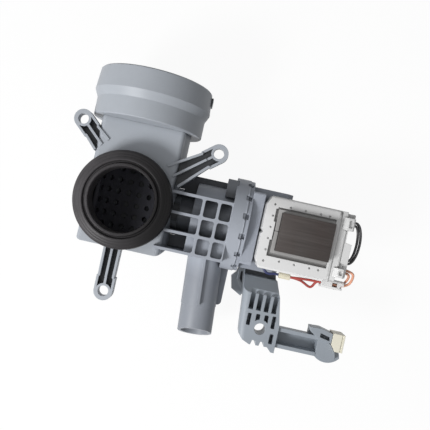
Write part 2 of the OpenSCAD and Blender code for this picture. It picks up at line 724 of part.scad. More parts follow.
// White cover over both coils, with a window for the yoke and rows of pin holes
module coil_cover() color(white) difference() {
    intersection() {
        translate([0, 0, cover_z0]) linear_extrude(cover_z1 - cover_z0) cover_plan(0);
        translate([cover_x - 1, 0, 0]) rotate([90, 0, 90]) linear_extrude(cover_x1 - cover_x + 2)
            round_rect(-cover_y, cover_z0 - 2 * edge_round, cover_y, cover_z1, edge_round);
    }
    translate([0, 0, cover_z0 - 1]) linear_extrude(cover_z1 - cover_z0 - cover_wall + 1)
        cover_plan(cover_wall);
    // Window for the yoke, wider beside the rim's two corners
    translate([0, coil_y, 0]) {
        block([core_x - rim_w - 0.8, -yoke_w / 2 - 4.6, coil_z],
            [core_x1 + 0.8, yoke_w / 2 + 3.2, cover_z1 + 1]);
        for (y = [[-yoke_w / 2 - 4.6, -6.5], [6, yoke_w / 2 + 2]])
            block([core_x - rim_w - 2, y[0], coil_z], [core_x, y[1], cover_z1 + 1]);
    }
    // Low step at the terminal end
    block([step_x, -cover_y - 1, cover_z1 - 0.8], [cover_x1 + 1, cover_y + 1, cover_z1 + 1]);
    // Room for the rotor can
    shaftwise(can_out + seat_gap, cover_x - 1, core_x);
    // Entry of the blue lead
    translate([fuse_x - 12.15, -cover_y - 1, lead_z]) rotate([-90, 0, 0])
        cylinder(r = lead_r + 0.5, h = cover_wall + 2);
    // Pin holes along three sides
    for (i = [-2.5:2.5]) translate([cover_x + 5.4, 7.8 * i, cover_z1 - 1.2]) cylinder(d = 1.5, h = 3);
    for (x = pin_xs, y = [cover_y - 5.6, -cover_y + 7.1])
        translate([core_x + x, y, cover_z1 - 1.2]) cylinder(d = 1.5, h = 3);
}

// Plan of the cover, drawn in by a wall: cut corners, a seat for the wire clip and a notch in front
module cover_plan(wall) {
    half = cover_y - wall;
    front = cover_x + wall * 1.3;
    notch = wall > 0 ? 0 : 1.4;
    seat_x = cover_x1 - 7.5 - wall;
    polygon([[front + 3, -half], [seat_x, -half], [seat_x, -half + clip_seat],
        [cover_x1 - wall, -half + clip_seat], [cover_x1 - wall, half], [front + 3, half],
        [front, half - 6], [front, 1.6], [front + notch, 0], [front, -1.6], [front, -half + 6]]);
}

// End piece that carries the two terminals, with a notch in its free edge
module terminal_housing() color(white) difference() {
    union() {
        translate([0, 0, cover_z0 + 4]) linear_extrude(cover_z1 - cover_z0 - 5.4) polygon([
            [cover_x1 + seat_gap, -cover_y + 5], [term_x1 - 0.5, -cover_y + 5], [term_x1, -cover_y + 5.5],
            [term_x1, 3.5], [term_x1 - 4.4, 4.4], [term_x1 - 4.4, 12.2], [lug_x1, 12.6],
            [lug_x1, cover_y - 1.5], [lug_x1 - 0.5, cover_y - 1], [cover_x1 + seat_gap, cover_y - 1]]);
        terminal_clip(low_term_y, 6.2);
        terminal_clip(high_term_y, 8.3);
    }
    // Finger recess beside each clip
    for (y = [low_term_y + 6.5, high_term_y + 8.6]) translate([0, 0, cover_z1 - 2.6]) linear_extrude(3)
        round_rect(cover_x1 + 0.8, y, lug_x1 - 1, y + 3.4, 1.2);
    // Hollow of the two terminal pockets, open at the free end
    for (y = [low_term_y, high_term_y])
        block([cover_x1 + 2.2, y + 1.4, cover_z0 + 6], [term_x1 + 1, y + 7.2, cover_z1 - 3.4]);
    // Middle pocket for the wire ends
    block([cover_x1 + 2.2, -11.6, cover_z0 + 6], [term_x1 + 1, -5.6, cover_z1 - 4]);
}

// Raised clip over one terminal: a saddle that grips the cover's low step, with a recess in its top
module terminal_clip(y, width) {
    step_z = cover_z1 - 0.8 + seat_gap;
    difference() {
        translate([0, y + width, 0]) rotate([90, 0, 0]) linear_extrude(width) polygon([
            [cover_x1 + seat_gap, cover_z1 - 3], [lug_x1, cover_z1 - 3], [lug_x1, cover_z1 + 1],
            [lug_x1 - 1, cover_z1 + 2], [cover_x1 + 0.6, cover_z1 + 2], [cover_x1 - 2.4, cover_z1],
            [cover_x1 - 2.4, step_z], [cover_x1 + seat_gap, step_z]]);
        translate([0, 0, cover_z1 + 0.4]) linear_extrude(3)
            round_rect(cover_x1 + 1.4, y + 1.6, lug_x1 - 1.4, y + width - 1.6, 0.8);
    }
}

// Brass blades in the two terminal pockets
module terminal_blades() color(brass) for (y = [low_term_y, high_term_y])
    block([cover_x1 + 2.2, y + 2, blade_z - 0.4], [term_x1 - 2, y + 5.8, blade_z + 0.4]);

// Clip that holds the leads at the cover's side: a rounded sleeve with two windows
module wire_clip() color(white) difference() {
    translate([clip_x - 1.4, 0, 0]) rotate([90, 0, 90]) linear_extrude(clip_len) difference() {
        round_rect(clip_y - 6.6, cover_z0 + 7, clip_y - seat_gap, cover_z0 + 15, 1.6);
        round_rect(clip_y - 5.2, cover_z0 + 8.4, clip_y - 1.6, cover_z0 + 13.4, 0.8);
    }
    block([clip_x + 6.4, clip_y - 4.8, cover_z0 + 12], [clip_x + 10, clip_y - 2, cover_z0 + 16]);
    translate([clip_x + clip_len - 5, clip_y - 7.5, cover_z0 + 11.5]) linear_extrude(5)
        polygon([[0, 0], [5, 0], [5, 4.1], [1.5, 4.1]]);
}

// Sleeve of the thermal fuse, lying against the cover's side
module thermal_fuse() color([0.9, 0.87, 0.78]) translate([fuse_x, lead_y, lead_z])
    rotate([0, 90, 0]) cylinder(r = fuse_r, h = fuse_len);

// Smooth curve through hand-chosen points, with n steps between neighbours
function curve(p, n) = concat([for (i = [0:len(p) - 2], k = [0:n - 1])
    let (t = k / n, a = p[max(i - 1, 0)], b = p[i], c = p[i + 1], d = p[min(i + 2, len(p) - 1)])
    (2 * b + (c - a) * t + (2 * a - 5 * b + 4 * c - d) * t * t
        + (3 * b - a - 3 * c + d) * t * t * t) / 2], [p[len(p) - 1]]);

function unit(v) = v / norm(v);

// Round tube along a path, as one polyhedron
module tube(path, r, sides = 8) {
    n = len(path);
    rings = [for (i = [0:n - 1])
        let (t = unit(path[min(i + 1, n - 1)] - path[max(i - 1, 0)]),
            s = unit(cross(t, [0, 0, 1])), u = cross(s, t))
        for (k = [0:sides - 1]) path[i] + r * (cos(360 * k / sides) * s + sin(360 * k / sides) * u)];
    walls = [for (i = [0:n - 2], k = [0:sides - 1])
        let (a = i * sides + k, b = i * sides + (k + 1) % sides)
        [a, a + sides, b + sides, b]];
    first = [for (k = [0:sides - 1]) k];
    last = [for (k = [sides - 1:-1:0]) (n - 1) * sides + k];
    polyhedron(points = rings, faces = concat([first, last], walls), convexity = 6);
}

// Two red leads from the fuse into the wire clip, one with a slack bend
module red_leads() color([0.75, 0.06, 0.05]) {
    x0 = fuse_x + fuse_len + 0.15;
    x1 = clip_x + 4;
    tube(curve([[x0, lead_y, lead_z + 1.1], [x0 + 9, lead_y + 0.9, lead_z + 1.6],
        [x1 - 8, hold_y - 0.3, lead_z + 1.1], [x1, hold_y, lead_z + 1.1]], 4), lead_r);
    tube(curve([[x0, lead_y, lead_z - 1.1], [x0 + 8, lead_y - 0.9, lead_z - 1.4],
        [clip_x - 7.3, lead_y - 3.9, lead_z - 2], [clip_x - 4, hold_y - 1.3, lead_z - 1.3],
        [clip_x - 1, hold_y, lead_z - 1.1], [x1, hold_y, lead_z - 1.1]], 3), lead_r);
}

// Two orange leads from the wire clip round to the lower terminal
module orange_leads() color([0.8, 0.35, 0.08]) for (s = [-1, 1]) {
    y1 = low_term_y + 4.3 + s;
    tube(curve([[clip_x + 6, hold_y, lead_z + s * 1.1], [clip_x + 13.2, hold_y, lead_z + s * 1.1],
        [term_x1 + 6.4 + s * 1.2, hold_y + 3, lead_z + s * 1.4],
        [term_x1 + 5.6 + s * 1.2, y1 - 2, blade_z + s * 0.6],
        [term_x1 + 2.5, y1, blade_z], [term_x1 - 1.8, y1, blade_z]], 4), lead_r);
}

// Two black leads side by side in half an oval, from the upper terminal to the middle pocket
module black_leads() color([0.05, 0.05, 0.05]) for (s = [-1, 1]) {
    beside = s * (lead_r + 0.15);
    y0 = high_term_y + 5.1 + beside;
    y1 = -8.7 - beside;
    out = 5 + beside;
    loop = [for (a = [90:-15:-90]) [term_x1 + 1.4 + out * cos(a), (y0 + y1) / 2 + (y0 - y1) / 2 * sin(a),
        blade_z - 2 * cos(a)]];
    tube(concat([[term_x1 - 1.8, y0, blade_z]], loop, [[cover_x1 + 2.3, y1, blade_z]]), lead_r);
}

// Blue lead from the fuse through the cover's side to the coil
module blue_lead() color([0.08, 0.12, 0.4]) {
    x0 = fuse_x - 0.15;
    y1 = coil_y - leg_in - leg_w - seat_gap - 1.1 - wind_out - 1.2;
    tube(curve([[x0, lead_y, lead_z], [x0 - 3, lead_y, lead_z], [x0 - 8, lead_y - 0.6, lead_z],
        [x0 - 11.4, lead_y + 2.4, lead_z], [x0 - 12, y1 - 3, lead_z], [x0 - 12, y1, lead_z]], 4),
        lead_r);
}

// Ribbed bracket hooked to the motor mount, with a screw hole and a cable arm
module harness_bracket() color(grey) difference() {
    union() {
        bracket_slab();
        bracket_gusset();
        for (x = hook_xs) bracket_hook(x);
        cable_arm();
        connector_jaws();
    }
    bracket_flutes();
    // Gap between the motor mount's arm and the slope
    block([root_x + 0.8, root_y - 3.6, mount_arm_z - 4.4], [arm_x, root_y + 1, bracket_z + 1]);
    translate([0, 0, bracket_z - slot_depth]) linear_extrude(slot_depth + 1) difference() {
        bracket_slots();
        translate([hole_x, hole_y]) circle(r = boss_r);
    }
    // Notches in the far edge
    for (x = [15.9, 21.8]) translate([root_x + x, plate_end_y, bracket_z - bracket_t - 1])
        linear_extrude(bracket_t + 2) polygon([[-2.1, -1], [2.1, -1], [1.2, 3.4], [-1.2, 3.4]]);
    translate([hole_x, hole_y, bracket_z - bracket_t - 1]) cylinder(r = bracket_hole_r, h = bracket_t + 2);
    // Pocket under the plate that leaves a wall and a deck
    translate([0, 0, bracket_z - bracket_t - 1]) linear_extrude(bracket_t - slot_depth - 1)
        difference() {
            round_rect(root_x + 6.4, plate_end_y + 5, arm_x - 2.4, crest_y - 15.5, 1.5);
            translate([hole_x, hole_y]) circle(r = boss_r);
        }
}

// Flutes behind the crest, which leave ribs with round noses and deepen away from it
module bracket_flutes() {
    width = (flute_count - 1) * flute_pitch + flute_w;
    rib = flute_pitch - flute_w;
    intersection() {
        translate([flute_x, 0, bracket_z - bracket_t]) linear_extrude(bracket_t + 1) difference() {
            translate([0, crest_y - flute_len]) square([width, flute_len + 6]);
            for (i = [1:flute_count - 1]) translate([i * flute_pitch - rib / 2, crest_y]) {
                circle(d = rib);
                translate([-rib / 2, -flute_len - 1]) square([rib, flute_len + 1]);
            }
        }
        translate([root_x, 0, 0]) rotate([90, 0, 90]) linear_extrude(arm_x - root_x) polygon([
            [crest_y + 7, bracket_z + 1], [crest_y + 7, bracket_z - 3.3], [crest_y, bracket_z - 3.3],
            [crest_y - flute_len - 1, bracket_z - bracket_t + 3], [crest_y - flute_len - 1, bracket_z + 1]]);
    }
}

// Slots in the plate, placed from the root corner and the far edge
module bracket_slots() {
    for (s = [[9.4, 17.4, 2.8, 8.6], [15.4, 18.6, 3, 7], [21.4, 18.9, 3, 7], [26.9, 18.4, 2.8, 8.8],
        [27.6, 6.7, 2.8, 7]])
        translate([root_x + s[0], plate_end_y + s[1]])
            round_rect(-s[2] / 2, -s[3] / 2, s[2] / 2, s[3] / 2, 0.7);
}

// Plan outline met with the side profile: a slope up to the crest and then a level plate
module bracket_slab() {
    intersection() {
        translate([0, 0, base_z]) linear_extrude(-base_z) polygon([
            [root_x, root_y], [root_x + bracket_w, root_y], [root_x + bracket_w + 3.7, crest_y],
            [arm_x, hole_y + 4], [arm_x, plate_end_y - 2.5], [arm_x - 2.4, plate_end_y - 2.5],
            [arm_x - 5.6, plate_end_y + 0.6], [root_x + 13, plate_end_y],
            [root_x + 7.5, plate_end_y + 2.4], [root_x + 4.4, plate_end_y + 6],
            [root_x + 3.7, hole_y], [root_x + 2, crest_y - 4]]);
        translate([root_x - 5, 0, 0]) rotate([90, 0, 90]) linear_extrude(arm_x - root_x + 10) polygon([
            [root_y, mount_arm_z], [crest_y, bracket_z], [plate_end_y - 3, bracket_z],
            [plate_end_y - 3, bracket_z - bracket_t], [crest_y - 4, bracket_z - bracket_t],
            [root_y, mount_arm_z - 12]]);
        // The near side leans and rounds over into the plate
        translate([root_x - 0.4, root_y + 1, base_z]) rotate([90, 0, 4.6]) linear_extrude(bracket_reach + 12)
            round_rect(0, 0, arm_x - root_x + 12, bracket_z - base_z + 0.01, 5.5);
    }
}

// Open triangular web on the near side
module bracket_gusset() {
    translate([0, 0, mount_arm_z - 6]) linear_extrude(6) difference() {
        polygon([[root_x + 1, root_y], [root_x + 4, crest_y - 6], [root_x - 3.6, crest_y + 5],
            [root_x - 3.6, root_y]]);
        polygon([[root_x - 0.6, root_y - 2.4], [root_x + 0.4, crest_y + 3], [root_x - 2, crest_y + 6],
            [root_x - 2, root_y - 2.4]]);
    }
    // Lower plate behind the web
    translate([0, 0, mount_arm_z - 11]) linear_extrude(5.5) polygon([
        [root_x + 4, root_y], [root_x + 4, crest_y - 3], [root_x + 1.5, crest_y - 7],
        [root_x - 6, crest_y - 3], [root_x - 8, root_y - 8], [root_x - 5, root_y - 4.4],
        [root_x - 3.6, root_y]]);
}

// Hook that passes through a slot of the motor mount's arm
module bracket_hook(x) {
    translate([x - hook_w / 2, 0, 0]) rotate([90, 0, 90]) linear_extrude(hook_w) polygon([
        [root_y - 2, mount_arm_z - 9], [-arm_y + seat_gap, mount_arm_z - 9],
        [-arm_y + seat_gap, mount_arm_z - 10.6], [-arm_y + 0.8, mount_arm_z - 10.6],
        [-arm_y + 1.8, mount_arm_z - 8], [-arm_y + 1.8, mount_arm_z - 5], [root_y - 2, mount_arm_z - 5]]);
}

// Trough that carries the harness: a channel with rolled rims and a slit near its end
module cable_arm() {
    difference() {
        translate([arm_x - 1, arm_y0, arm_z]) rotate([90, 0, 90]) linear_extrude(arm_len + 1) polygon([
            [0, -11], [arm_w, -11], [arm_w, -1.6], [arm_w + 0.7, -1.6], [arm_w + 0.7, 0], [arm_w - 2, 0],
            [arm_w - 2, -9], [2, -9], [2, 0], [-0.7, 0], [-0.7, -1.6], [0, -1.6]]);
        block([arm_x + arm_len - 8.5, arm_y0 - 1, arm_z - 5], [arm_x + arm_len - 3, arm_y0 + 1, arm_z - 2.2]);
        // The plate's wall stays whole where the trough leaves it
        block([arm_x - 2, arm_y0 - 1, arm_z - 1], [arm_x, arm_y0 + arm_w + 1, arm_z + 1]);
    }
}

// Hooked upper jaw and a two-leaved fin that hold the connector
module connector_jaws() {
    difference() {
        translate([0, 0, arm_z - 10]) linear_extrude(11) polygon([
            [con_x - 16.5, jaw_y + 6], [con_x - 8.5, jaw_y + 6.4], [con_x - seat_gap, jaw_y + 4.4],
            [con_x - seat_gap, jaw_y - 2.4], [con_x - 9.6, jaw_y - 1.2], [con_x - 16, jaw_y + 3]]);
        // Dark recess in the jaw's top
        translate([0, 0, arm_z - 5]) linear_extrude(7) polygon([
            [con_x - 8.8, jaw_y + 3.4], [con_x - 1.6, jaw_y + 1.6],
            [con_x - 1.6, jaw_y - 1], [con_x - 8.8, jaw_y + 0.4]]);
    }
    block([con_x - 16, jaw_y - 2.3, arm_z - 11], [con_x - 5, jaw_y + 4, arm_z - 6]);
    difference() {
        union() {
            translate([0, 0, arm_z - 11]) linear_extrude(11) leaf(con_x - 7.2, arm_y0, 12, 10.3);
            translate([0, 0, arm_z - 11]) linear_extrude(7.5) leaf(con_x - 3.2, arm_y0 - 1, 12.2, 12.4);
        }
        translate([0, 0, arm_z - 12]) linear_extrude(14) connector_plan(-seat_gap, 0);
        // The trough stays open as far as its end
        block([arm_x, arm_y0 + 2, arm_z - 9], [arm_x + arm_len, arm_y0 + arm_w - 2, arm_z + 1]);
    }
}

// Lens between two circles: the outer edge round (x, y) and the inner edge round the connector's foot
module leaf(x, y, outer, inner) {
    intersection() {
        translate([x, y]) circle(r = outer);
        translate([con_x - 0.9, arm_y0 + 8]) circle(r = inner);
    }
}

// Plan of the connector with one cut corner, drawn in by a wall and lengthened past its free end
module connector_plan(wall, past) {
    polygon([[con_x + wall, con_y + 4.5 + wall / 2], [con_x + 3.3 + wall / 2, con_y + wall],
        [con_x + con_len + past, con_y + wall], [con_x + con_len + past, con_y + con_w - wall],
        [con_x + wall, con_y + con_w - wall]]);
}

// Ivory plug housing with one socket, open at its free end
module connector_housing() color([0.9, 0.88, 0.8]) difference() {
    translate([0, 0, arm_z - 11]) linear_extrude(12.6) connector_plan(0, 0);
    translate([0, 0, arm_z - 9.4]) linear_extrude(9.4) connector_plan(con_wall, 1);
    // Key groove on top
    block([con_x + con_len - 2, con_y - 1, arm_z + 1.1],
        [con_x + con_len - 1.2, con_y + con_w + 1, arm_z + 2]);
}

// Brass contacts that stand on the socket's back wall
module connector_contacts() color(brass) for (y = [0.53, 0.76])
    block([con_x + con_wall + press, con_y + y * con_w - 1.1, arm_z - 5.4],
        [con_x + 3.8, con_y + y * con_w + 1.1, arm_z - 4.6]);

filter_housing();
filter_collar();
inlet_seal();
filter_basket();
filter_cap();
filter_cap_seal();
volute_casing();
impeller();
drive_dog();
rotor_shaft();
rotor_magnet();
front_bearing();
rear_bearing();
casing_seal();
motor_mount();
stator_core();
coil_bobbins();
coil_windings();
coil_cover();
terminal_housing();
terminal_blades();
wire_clip();
thermal_fuse();
red_leads();
orange_leads();
black_leads();
blue_lead();
harness_bracket();
connector_housing();
connector_contacts();
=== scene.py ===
"""Dressed scene of a washer drain pump.

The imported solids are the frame. This file gives every solid its finish and builds the pieces whose
looks a plain solid can't give: the moulded inlet seal, the stack of core sheets, the leads, the fuse
sleeve and the thin trim over two seams. Lengths are metres in the part's own frame.
"""

import logging
import math
import random
from dataclasses import dataclass, field
from enum import Enum
from typing import Protocol

import bpy
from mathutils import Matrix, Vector


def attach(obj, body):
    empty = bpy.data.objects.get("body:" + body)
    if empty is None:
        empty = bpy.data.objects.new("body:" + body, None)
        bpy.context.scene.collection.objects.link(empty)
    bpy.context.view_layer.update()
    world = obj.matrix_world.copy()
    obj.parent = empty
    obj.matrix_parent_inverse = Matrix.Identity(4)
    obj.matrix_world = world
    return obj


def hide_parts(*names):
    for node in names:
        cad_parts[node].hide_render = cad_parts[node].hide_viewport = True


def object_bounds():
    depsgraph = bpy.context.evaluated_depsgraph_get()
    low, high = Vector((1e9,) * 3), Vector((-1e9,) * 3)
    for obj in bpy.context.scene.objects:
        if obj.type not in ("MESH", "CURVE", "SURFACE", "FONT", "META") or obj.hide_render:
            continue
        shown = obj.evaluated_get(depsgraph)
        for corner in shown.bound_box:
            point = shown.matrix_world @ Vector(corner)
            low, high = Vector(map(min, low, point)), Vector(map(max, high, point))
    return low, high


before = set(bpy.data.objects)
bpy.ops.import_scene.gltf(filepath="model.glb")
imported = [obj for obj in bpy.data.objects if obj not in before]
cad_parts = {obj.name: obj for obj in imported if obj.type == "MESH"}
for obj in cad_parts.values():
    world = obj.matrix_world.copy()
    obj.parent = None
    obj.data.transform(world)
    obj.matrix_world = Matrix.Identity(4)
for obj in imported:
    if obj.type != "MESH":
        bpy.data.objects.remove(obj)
CAD_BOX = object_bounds()

LOG = logging.getLogger("drain_pump")
MM = 0.001

Colour = tuple[float, float, float]
Point = tuple[float, float, float]
Flat = tuple[float, float]


class Body(Enum):
    """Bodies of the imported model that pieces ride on."""

    HOUSING = "housing"
    ROTOR = "rotor"
    IMPELLER = "impeller"
    FILTER = "filter"
    KNOB = "filter_knob"


class Axis(Enum):
    """Direction in which a surface is drawn, rolled or turned."""

    X = 0
    Y = 1
    Z = 2


def from_screen(red: int, green: int, blue: int) -> Colour:
    """Turns a colour as a screen shows it into a linear one.

    Args:
        red: Red from 0 to 255.
        green: Green from 0 to 255.
        blue: Blue from 0 to 255.

    Returns:
        The linear colour.
    """
    def linear(value: int) -> float:
        """Undoes the screen's own curve for one channel."""
        share = value / 255
        return share / 12.92 if share <= 0.04045 else ((share + 0.055) / 1.055) ** 2.4

    return linear(red), linear(green), linear(blue)


def shade(colour: Colour, factor: float) -> tuple[float, float, float, float]:
    """Scales a colour and adds full cover.

    Args:
        colour: Linear colour.
        factor: Share of its brightness that is kept.

    Returns:
        The colour with an alpha of one.
    """
    return (*(min(1.0, channel * factor) for channel in colour), 1.0)


class Graph:
    """Node tree of one material, with a principled shader at its end."""

    def __init__(self, name: str) -> None:
        """Starts the tree.

        Args:
            name: Name of the material.
        """
        self.material = bpy.data.materials.new(name)
        self.material.use_nodes = True
        self.tree = self.material.node_tree
        self.tree.nodes.clear()
        self.shader = self.add("ShaderNodeBsdfPrincipled")
        output = self.add("ShaderNodeOutputMaterial")
        self.feed(output.inputs["Surface"], self.shader.outputs["BSDF"])
        self.place = self.add("ShaderNodeTexCoord").outputs["Object"]

    def add(self, kind: str, **settings: object) -> bpy.types.Node:
        """Adds a node.

        Args:
            kind: Type name of the node.
            settings: Properties to set on it.

        Returns:
            The new node.
        """
        node = self.tree.nodes.new(kind)
        for key, value in settings.items():
            setattr(node, key, value)
        return node

    def feed(self, socket: bpy.types.NodeSocket, value: object) -> None:
        """Links a socket to another one, or sets its value.

        Args:
            socket: Input to fill.
            value: Output of another node, or a plain value.
        """
        if isinstance(value, bpy.types.NodeSocket):
            self.tree.links.new(value, socket)
        else:
            socket.default_value = value

    def math(self, operation: str, first: object, second: object = 0.0) -> bpy.types.NodeSocket:
        """Adds one sum.

        Args:
            operation: Name of the operation.
            first: First value or socket.
            second: Second value or socket.

        Returns:
            The result's socket.
        """
        node = self.add("ShaderNodeMath", operation=operation)
        self.feed(node.inputs[0], first)
        self.feed(node.inputs[1], second)
        return node.outputs[0]

    def span(self, value: object, low: float, high: float, start: float = 0.0,
             end: float = 1.0) -> bpy.types.NodeSocket:
        """Maps a value from one range to another, held at both ends.

        Args:
            value: Socket to map.
            low: Result at the range's start.
            high: Result at the range's end.
            start: Start of the range.
            end: End of the range.

        Returns:
            The mapped socket.
        """
        node = self.add("ShaderNodeMapRange")
        for name, number in (("From Min", start), ("From Max", end), ("To Min", low), ("To Max", high)):
            node.inputs[name].default_value = number
        self.feed(node.inputs["Value"], value)
        return node.outputs["Result"]

    def noise(self, scale: float, detail: float = 2.0, stretch: Point = (1, 1, 1),
              rough: float = 0.5) -> bpy.types.NodeSocket:
        """Adds cloudy noise in the part's own frame.

        Args:
            scale: Cells in a metre.
            detail: Number of finer layers.
            stretch: Factor on the scale along each axis.
            rough: Weight of the finer layers.

        Returns:
            The noise's value.
        """
        mapping = self.add("ShaderNodeMapping")
        self.feed(mapping.inputs["Vector"], self.place)
        mapping.inputs["Scale"].default_value = stretch
        node = self.add("ShaderNodeTexNoise")
        self.feed(node.inputs["Vector"], mapping.outputs["Vector"])
        node.inputs["Scale"].default_value = scale
        node.inputs["Detail"].default_value = detail
        node.inputs["Roughness"].default_value = rough
        return node.outputs["Fac"]

    def part(self, axis: Axis) -> bpy.types.NodeSocket:
        """Gives one coordinate of the part's own frame."""
        node = self.add("ShaderNodeSeparateXYZ")
        self.feed(node.inputs[0], self.place)
        return node.outputs[axis.value]

    def waves(self, value: object, pitch: float) -> bpy.types.NodeSocket:
        """Makes even ridges along a coordinate.

        Args:
            value: Coordinate in metres.
            pitch: Distance between two ridges.

        Returns:
            A value that swings between minus one and one.
        """
        return self.math("SINE", self.math("MULTIPLY", value, 2 * math.pi / pitch))

    def reach(self, first: object, second: object) -> bpy.types.NodeSocket:
        """Distance from an axis, from two coordinates.

        Args:
            first: First coordinate.
            second: Second coordinate.

        Returns:
            The root of the sum of their squares.
        """
        squares = [self.math("MULTIPLY", value, value) for value in (first, second)]
        return self.math("SQRT", self.math("ADD", *squares))

    def blend(self, factor: object, first: object, second: object,
              mode: str = "MIX") -> bpy.types.NodeSocket:
        """Mixes two colours.

        Args:
            factor: Share of the second colour.
            first: First colour or socket.
            second: Second colour or socket.
            mode: Way in which they are mixed.

        Returns:
            The mixed colour.
        """
        node = self.add("ShaderNodeMix", data_type="RGBA", blend_type=mode)
        self.feed(node.inputs[0], factor)
        self.feed(node.inputs[6], first)
        self.feed(node.inputs[7], second)
        return node.outputs[2]

    def edges(self, radius: float) -> tuple[bpy.types.NodeSocket, bpy.types.NodeSocket]:
        """Rounds sharp edges in the shading and finds where they are.

        Args:
            radius: Radius of the rounding.

        Returns:
            The rounded normal, and a mask that is one along the edges.
        """
        bevel = self.add("ShaderNodeBevel", samples=6)
        bevel.inputs["Radius"].default_value = radius
        dot = self.add("ShaderNodeVectorMath", operation="DOT_PRODUCT")
        self.feed(dot.inputs[0], bevel.outputs["Normal"])
        self.feed(dot.inputs[1], self.add("ShaderNodeNewGeometry").outputs["Normal"])
        return bevel.outputs["Normal"], self.span(dot.outputs["Value"], 1.0, 0.0, 0.72, 0.99)

    def corners(self, distance: float) -> bpy.types.NodeSocket:
        """Finds recesses, where the result falls towards zero.

        Args:
            distance: Depth of recess that counts.

        Returns:
            Openness from zero to one.
        """
        node = self.add("ShaderNodeAmbientOcclusion", samples=8)
        node.inputs["Distance"].default_value = distance
        return node.outputs["AO"]

    def bump(self, height: object, strength: float, depth: float,
             normal: bpy.types.NodeSocket | None = None) -> bpy.types.NodeSocket:
        """Adds relief.

        Args:
            height: Height from zero to one.
            strength: Share of the relief that shows.
            depth: Height of the relief in metres.
            normal: Normal to start from.

        Returns:
            The changed normal.
        """
        node = self.add("ShaderNodeBump")
        node.inputs["Strength"].default_value = strength
        node.inputs["Distance"].default_value = depth
        self.feed(node.inputs["Height"], height)
        if normal is not None:
            self.feed(node.inputs["Normal"], normal)
        return node.outputs["Normal"]

    def finish(self, colour: object, roughness: object, normal: object) -> bpy.types.Material:
        """Joins colour, roughness and normal to the shader.

        Args:
            colour: Colour socket.
            roughness: Roughness socket.
            normal: Normal socket.

        Returns:
            The finished material.
        """
        self.feed(self.shader.inputs["Base Color"], colour)
        self.feed(self.shader.inputs["Roughness"], roughness)
        self.feed(self.shader.inputs["Normal"], normal)
        return self.material


class Finish(Protocol):
    """Anything that can make its own material."""

    name: str

    def material(self) -> bpy.types.Material:
        """Makes the material."""


@dataclass(frozen=True)
class MouldedPlastic:
    """Satin moulded plastic: cloudy colour, fine spark texture, edges with wear and painted highlight,
    painted shade in recesses.

    Attributes:
        name: Name of the material.
        colour: Linear colour of clean plastic.
        roughness: Mean roughness.
        cloud: Share by which the colour changes over the part.
        edge: Radius of the moulded edges.
        rub_and_glint: Brightness of an edge against the plastic, lighter partly from wear and partly as
            painted highlight.
        corner_shade: Brightness of a corner against the plastic, as painted shade.
        depth: Depth of a recess that counts as a corner.
        closed: Openness at which a corner is in full painted shade, and at which it has none.
        shine: Level of the plastic's own reflection.
        shade_band: Axis along which painted shade builds up, start and end of the change, and the tone at its
            end.
        floor_shade: Height below which faces that look up get painted shade, the stretch along Y over which
            it
        builds up, and its tone.
    """

    name: str
    colour: Colour
    roughness: float = 0.46
    cloud: float = 0.05
    edge: float = 0.45 * MM
    rub_and_glint: float = 1.22
    corner_shade: float = 0.72
    depth: float = 7 * MM
    closed: tuple[float, float] = (0.25, 0.95)
    shine: float = 0.35
    shade_band: tuple[Axis, float, float, float] | None = None
    floor_shade: tuple[float, float, float, float] | None = None

    def material(self) -> bpy.types.Material:
        """Makes the material."""
        graph = Graph(self.name)
        broad = graph.noise(28, 4, rough=0.6)
        flow = graph.noise(60, 3, (0.25, 1, 1))
        speck = graph.noise(1900, 1)
        clouds = graph.math("ADD", graph.math("MULTIPLY", broad, 0.65), graph.math("MULTIPLY", flow, 0.35))
        tone = graph.blend(graph.span(clouds, 0, 1, 0.34, 0.66), shade(self.colour, 1 - self.cloud),
                           shade(self.colour, 1 + self.cloud))
        tone = graph.blend(graph.span(speck, 0, 0.35, 0.45, 0.75), tone, shade(self.colour, 0.9))
        normal, edge = graph.edges(self.edge)
        # Edges lightened: partly wear, partly painted highlight.
        rub_and_glint_mask = graph.math("MULTIPLY", edge, graph.span(graph.noise(240, 3), 0.15, 0.85, 0.35, 0.65))
        tone = graph.blend(rub_and_glint_mask, tone, shade(self.colour, self.rub_and_glint))
        # Painted shade: recesses darkened from ambient occlusion.
        tone = graph.blend(graph.span(graph.corners(self.depth), 1, 0, *self.closed), tone,
                           shade(self.colour, self.corner_shade))
        # Painted shade that deepens along one axis.
        if self.shade_band is not None:
            axis, start, end, level = self.shade_band
            place = graph.math("ADD", graph.part(axis), graph.math("MULTIPLY", broad, 4 * MM))
            low, high = (1, level) if start < end else (level, 1)
            painted_falloff = graph.span(place, low, high, min(start, end), max(start, end))
            tone = graph.blend(1.0, tone, painted_falloff, "MULTIPLY")
        # Painted shade on low faces that look up, such as deep cell floors and recess floors.
        if self.floor_shade is not None:
            upward = graph.add("ShaderNodeSeparateXYZ")
            graph.feed(upward.inputs[0], graph.add("ShaderNodeNewGeometry").outputs["True Normal"])
            height, start, end, level = self.floor_shade
            floor_shade_mask = graph.math("MULTIPLY", graph.span(graph.part(Axis.Z), 1, 0, height - 0.5 * MM, height),
                              graph.span(graph.part(Axis.Y), 0, 1, start, end))
            floor_shade_mask = graph.math("MULTIPLY", floor_shade_mask, graph.span(upward.outputs["Z"], 0, 1, 0.8, 0.95))
            tone = graph.blend(floor_shade_mask, tone, shade(self.colour, level))
        gloss = graph.span(clouds, self.roughness - 0.06, self.roughness + 0.08, 0.3, 0.7)
        relief = graph.bump(graph.noise(1500, 2), 0.16, 0.06 * MM, normal)
        graph.shader.inputs["Specular IOR Level"].default_value = self.shine
        return graph.finish(tone, gloss, relief)


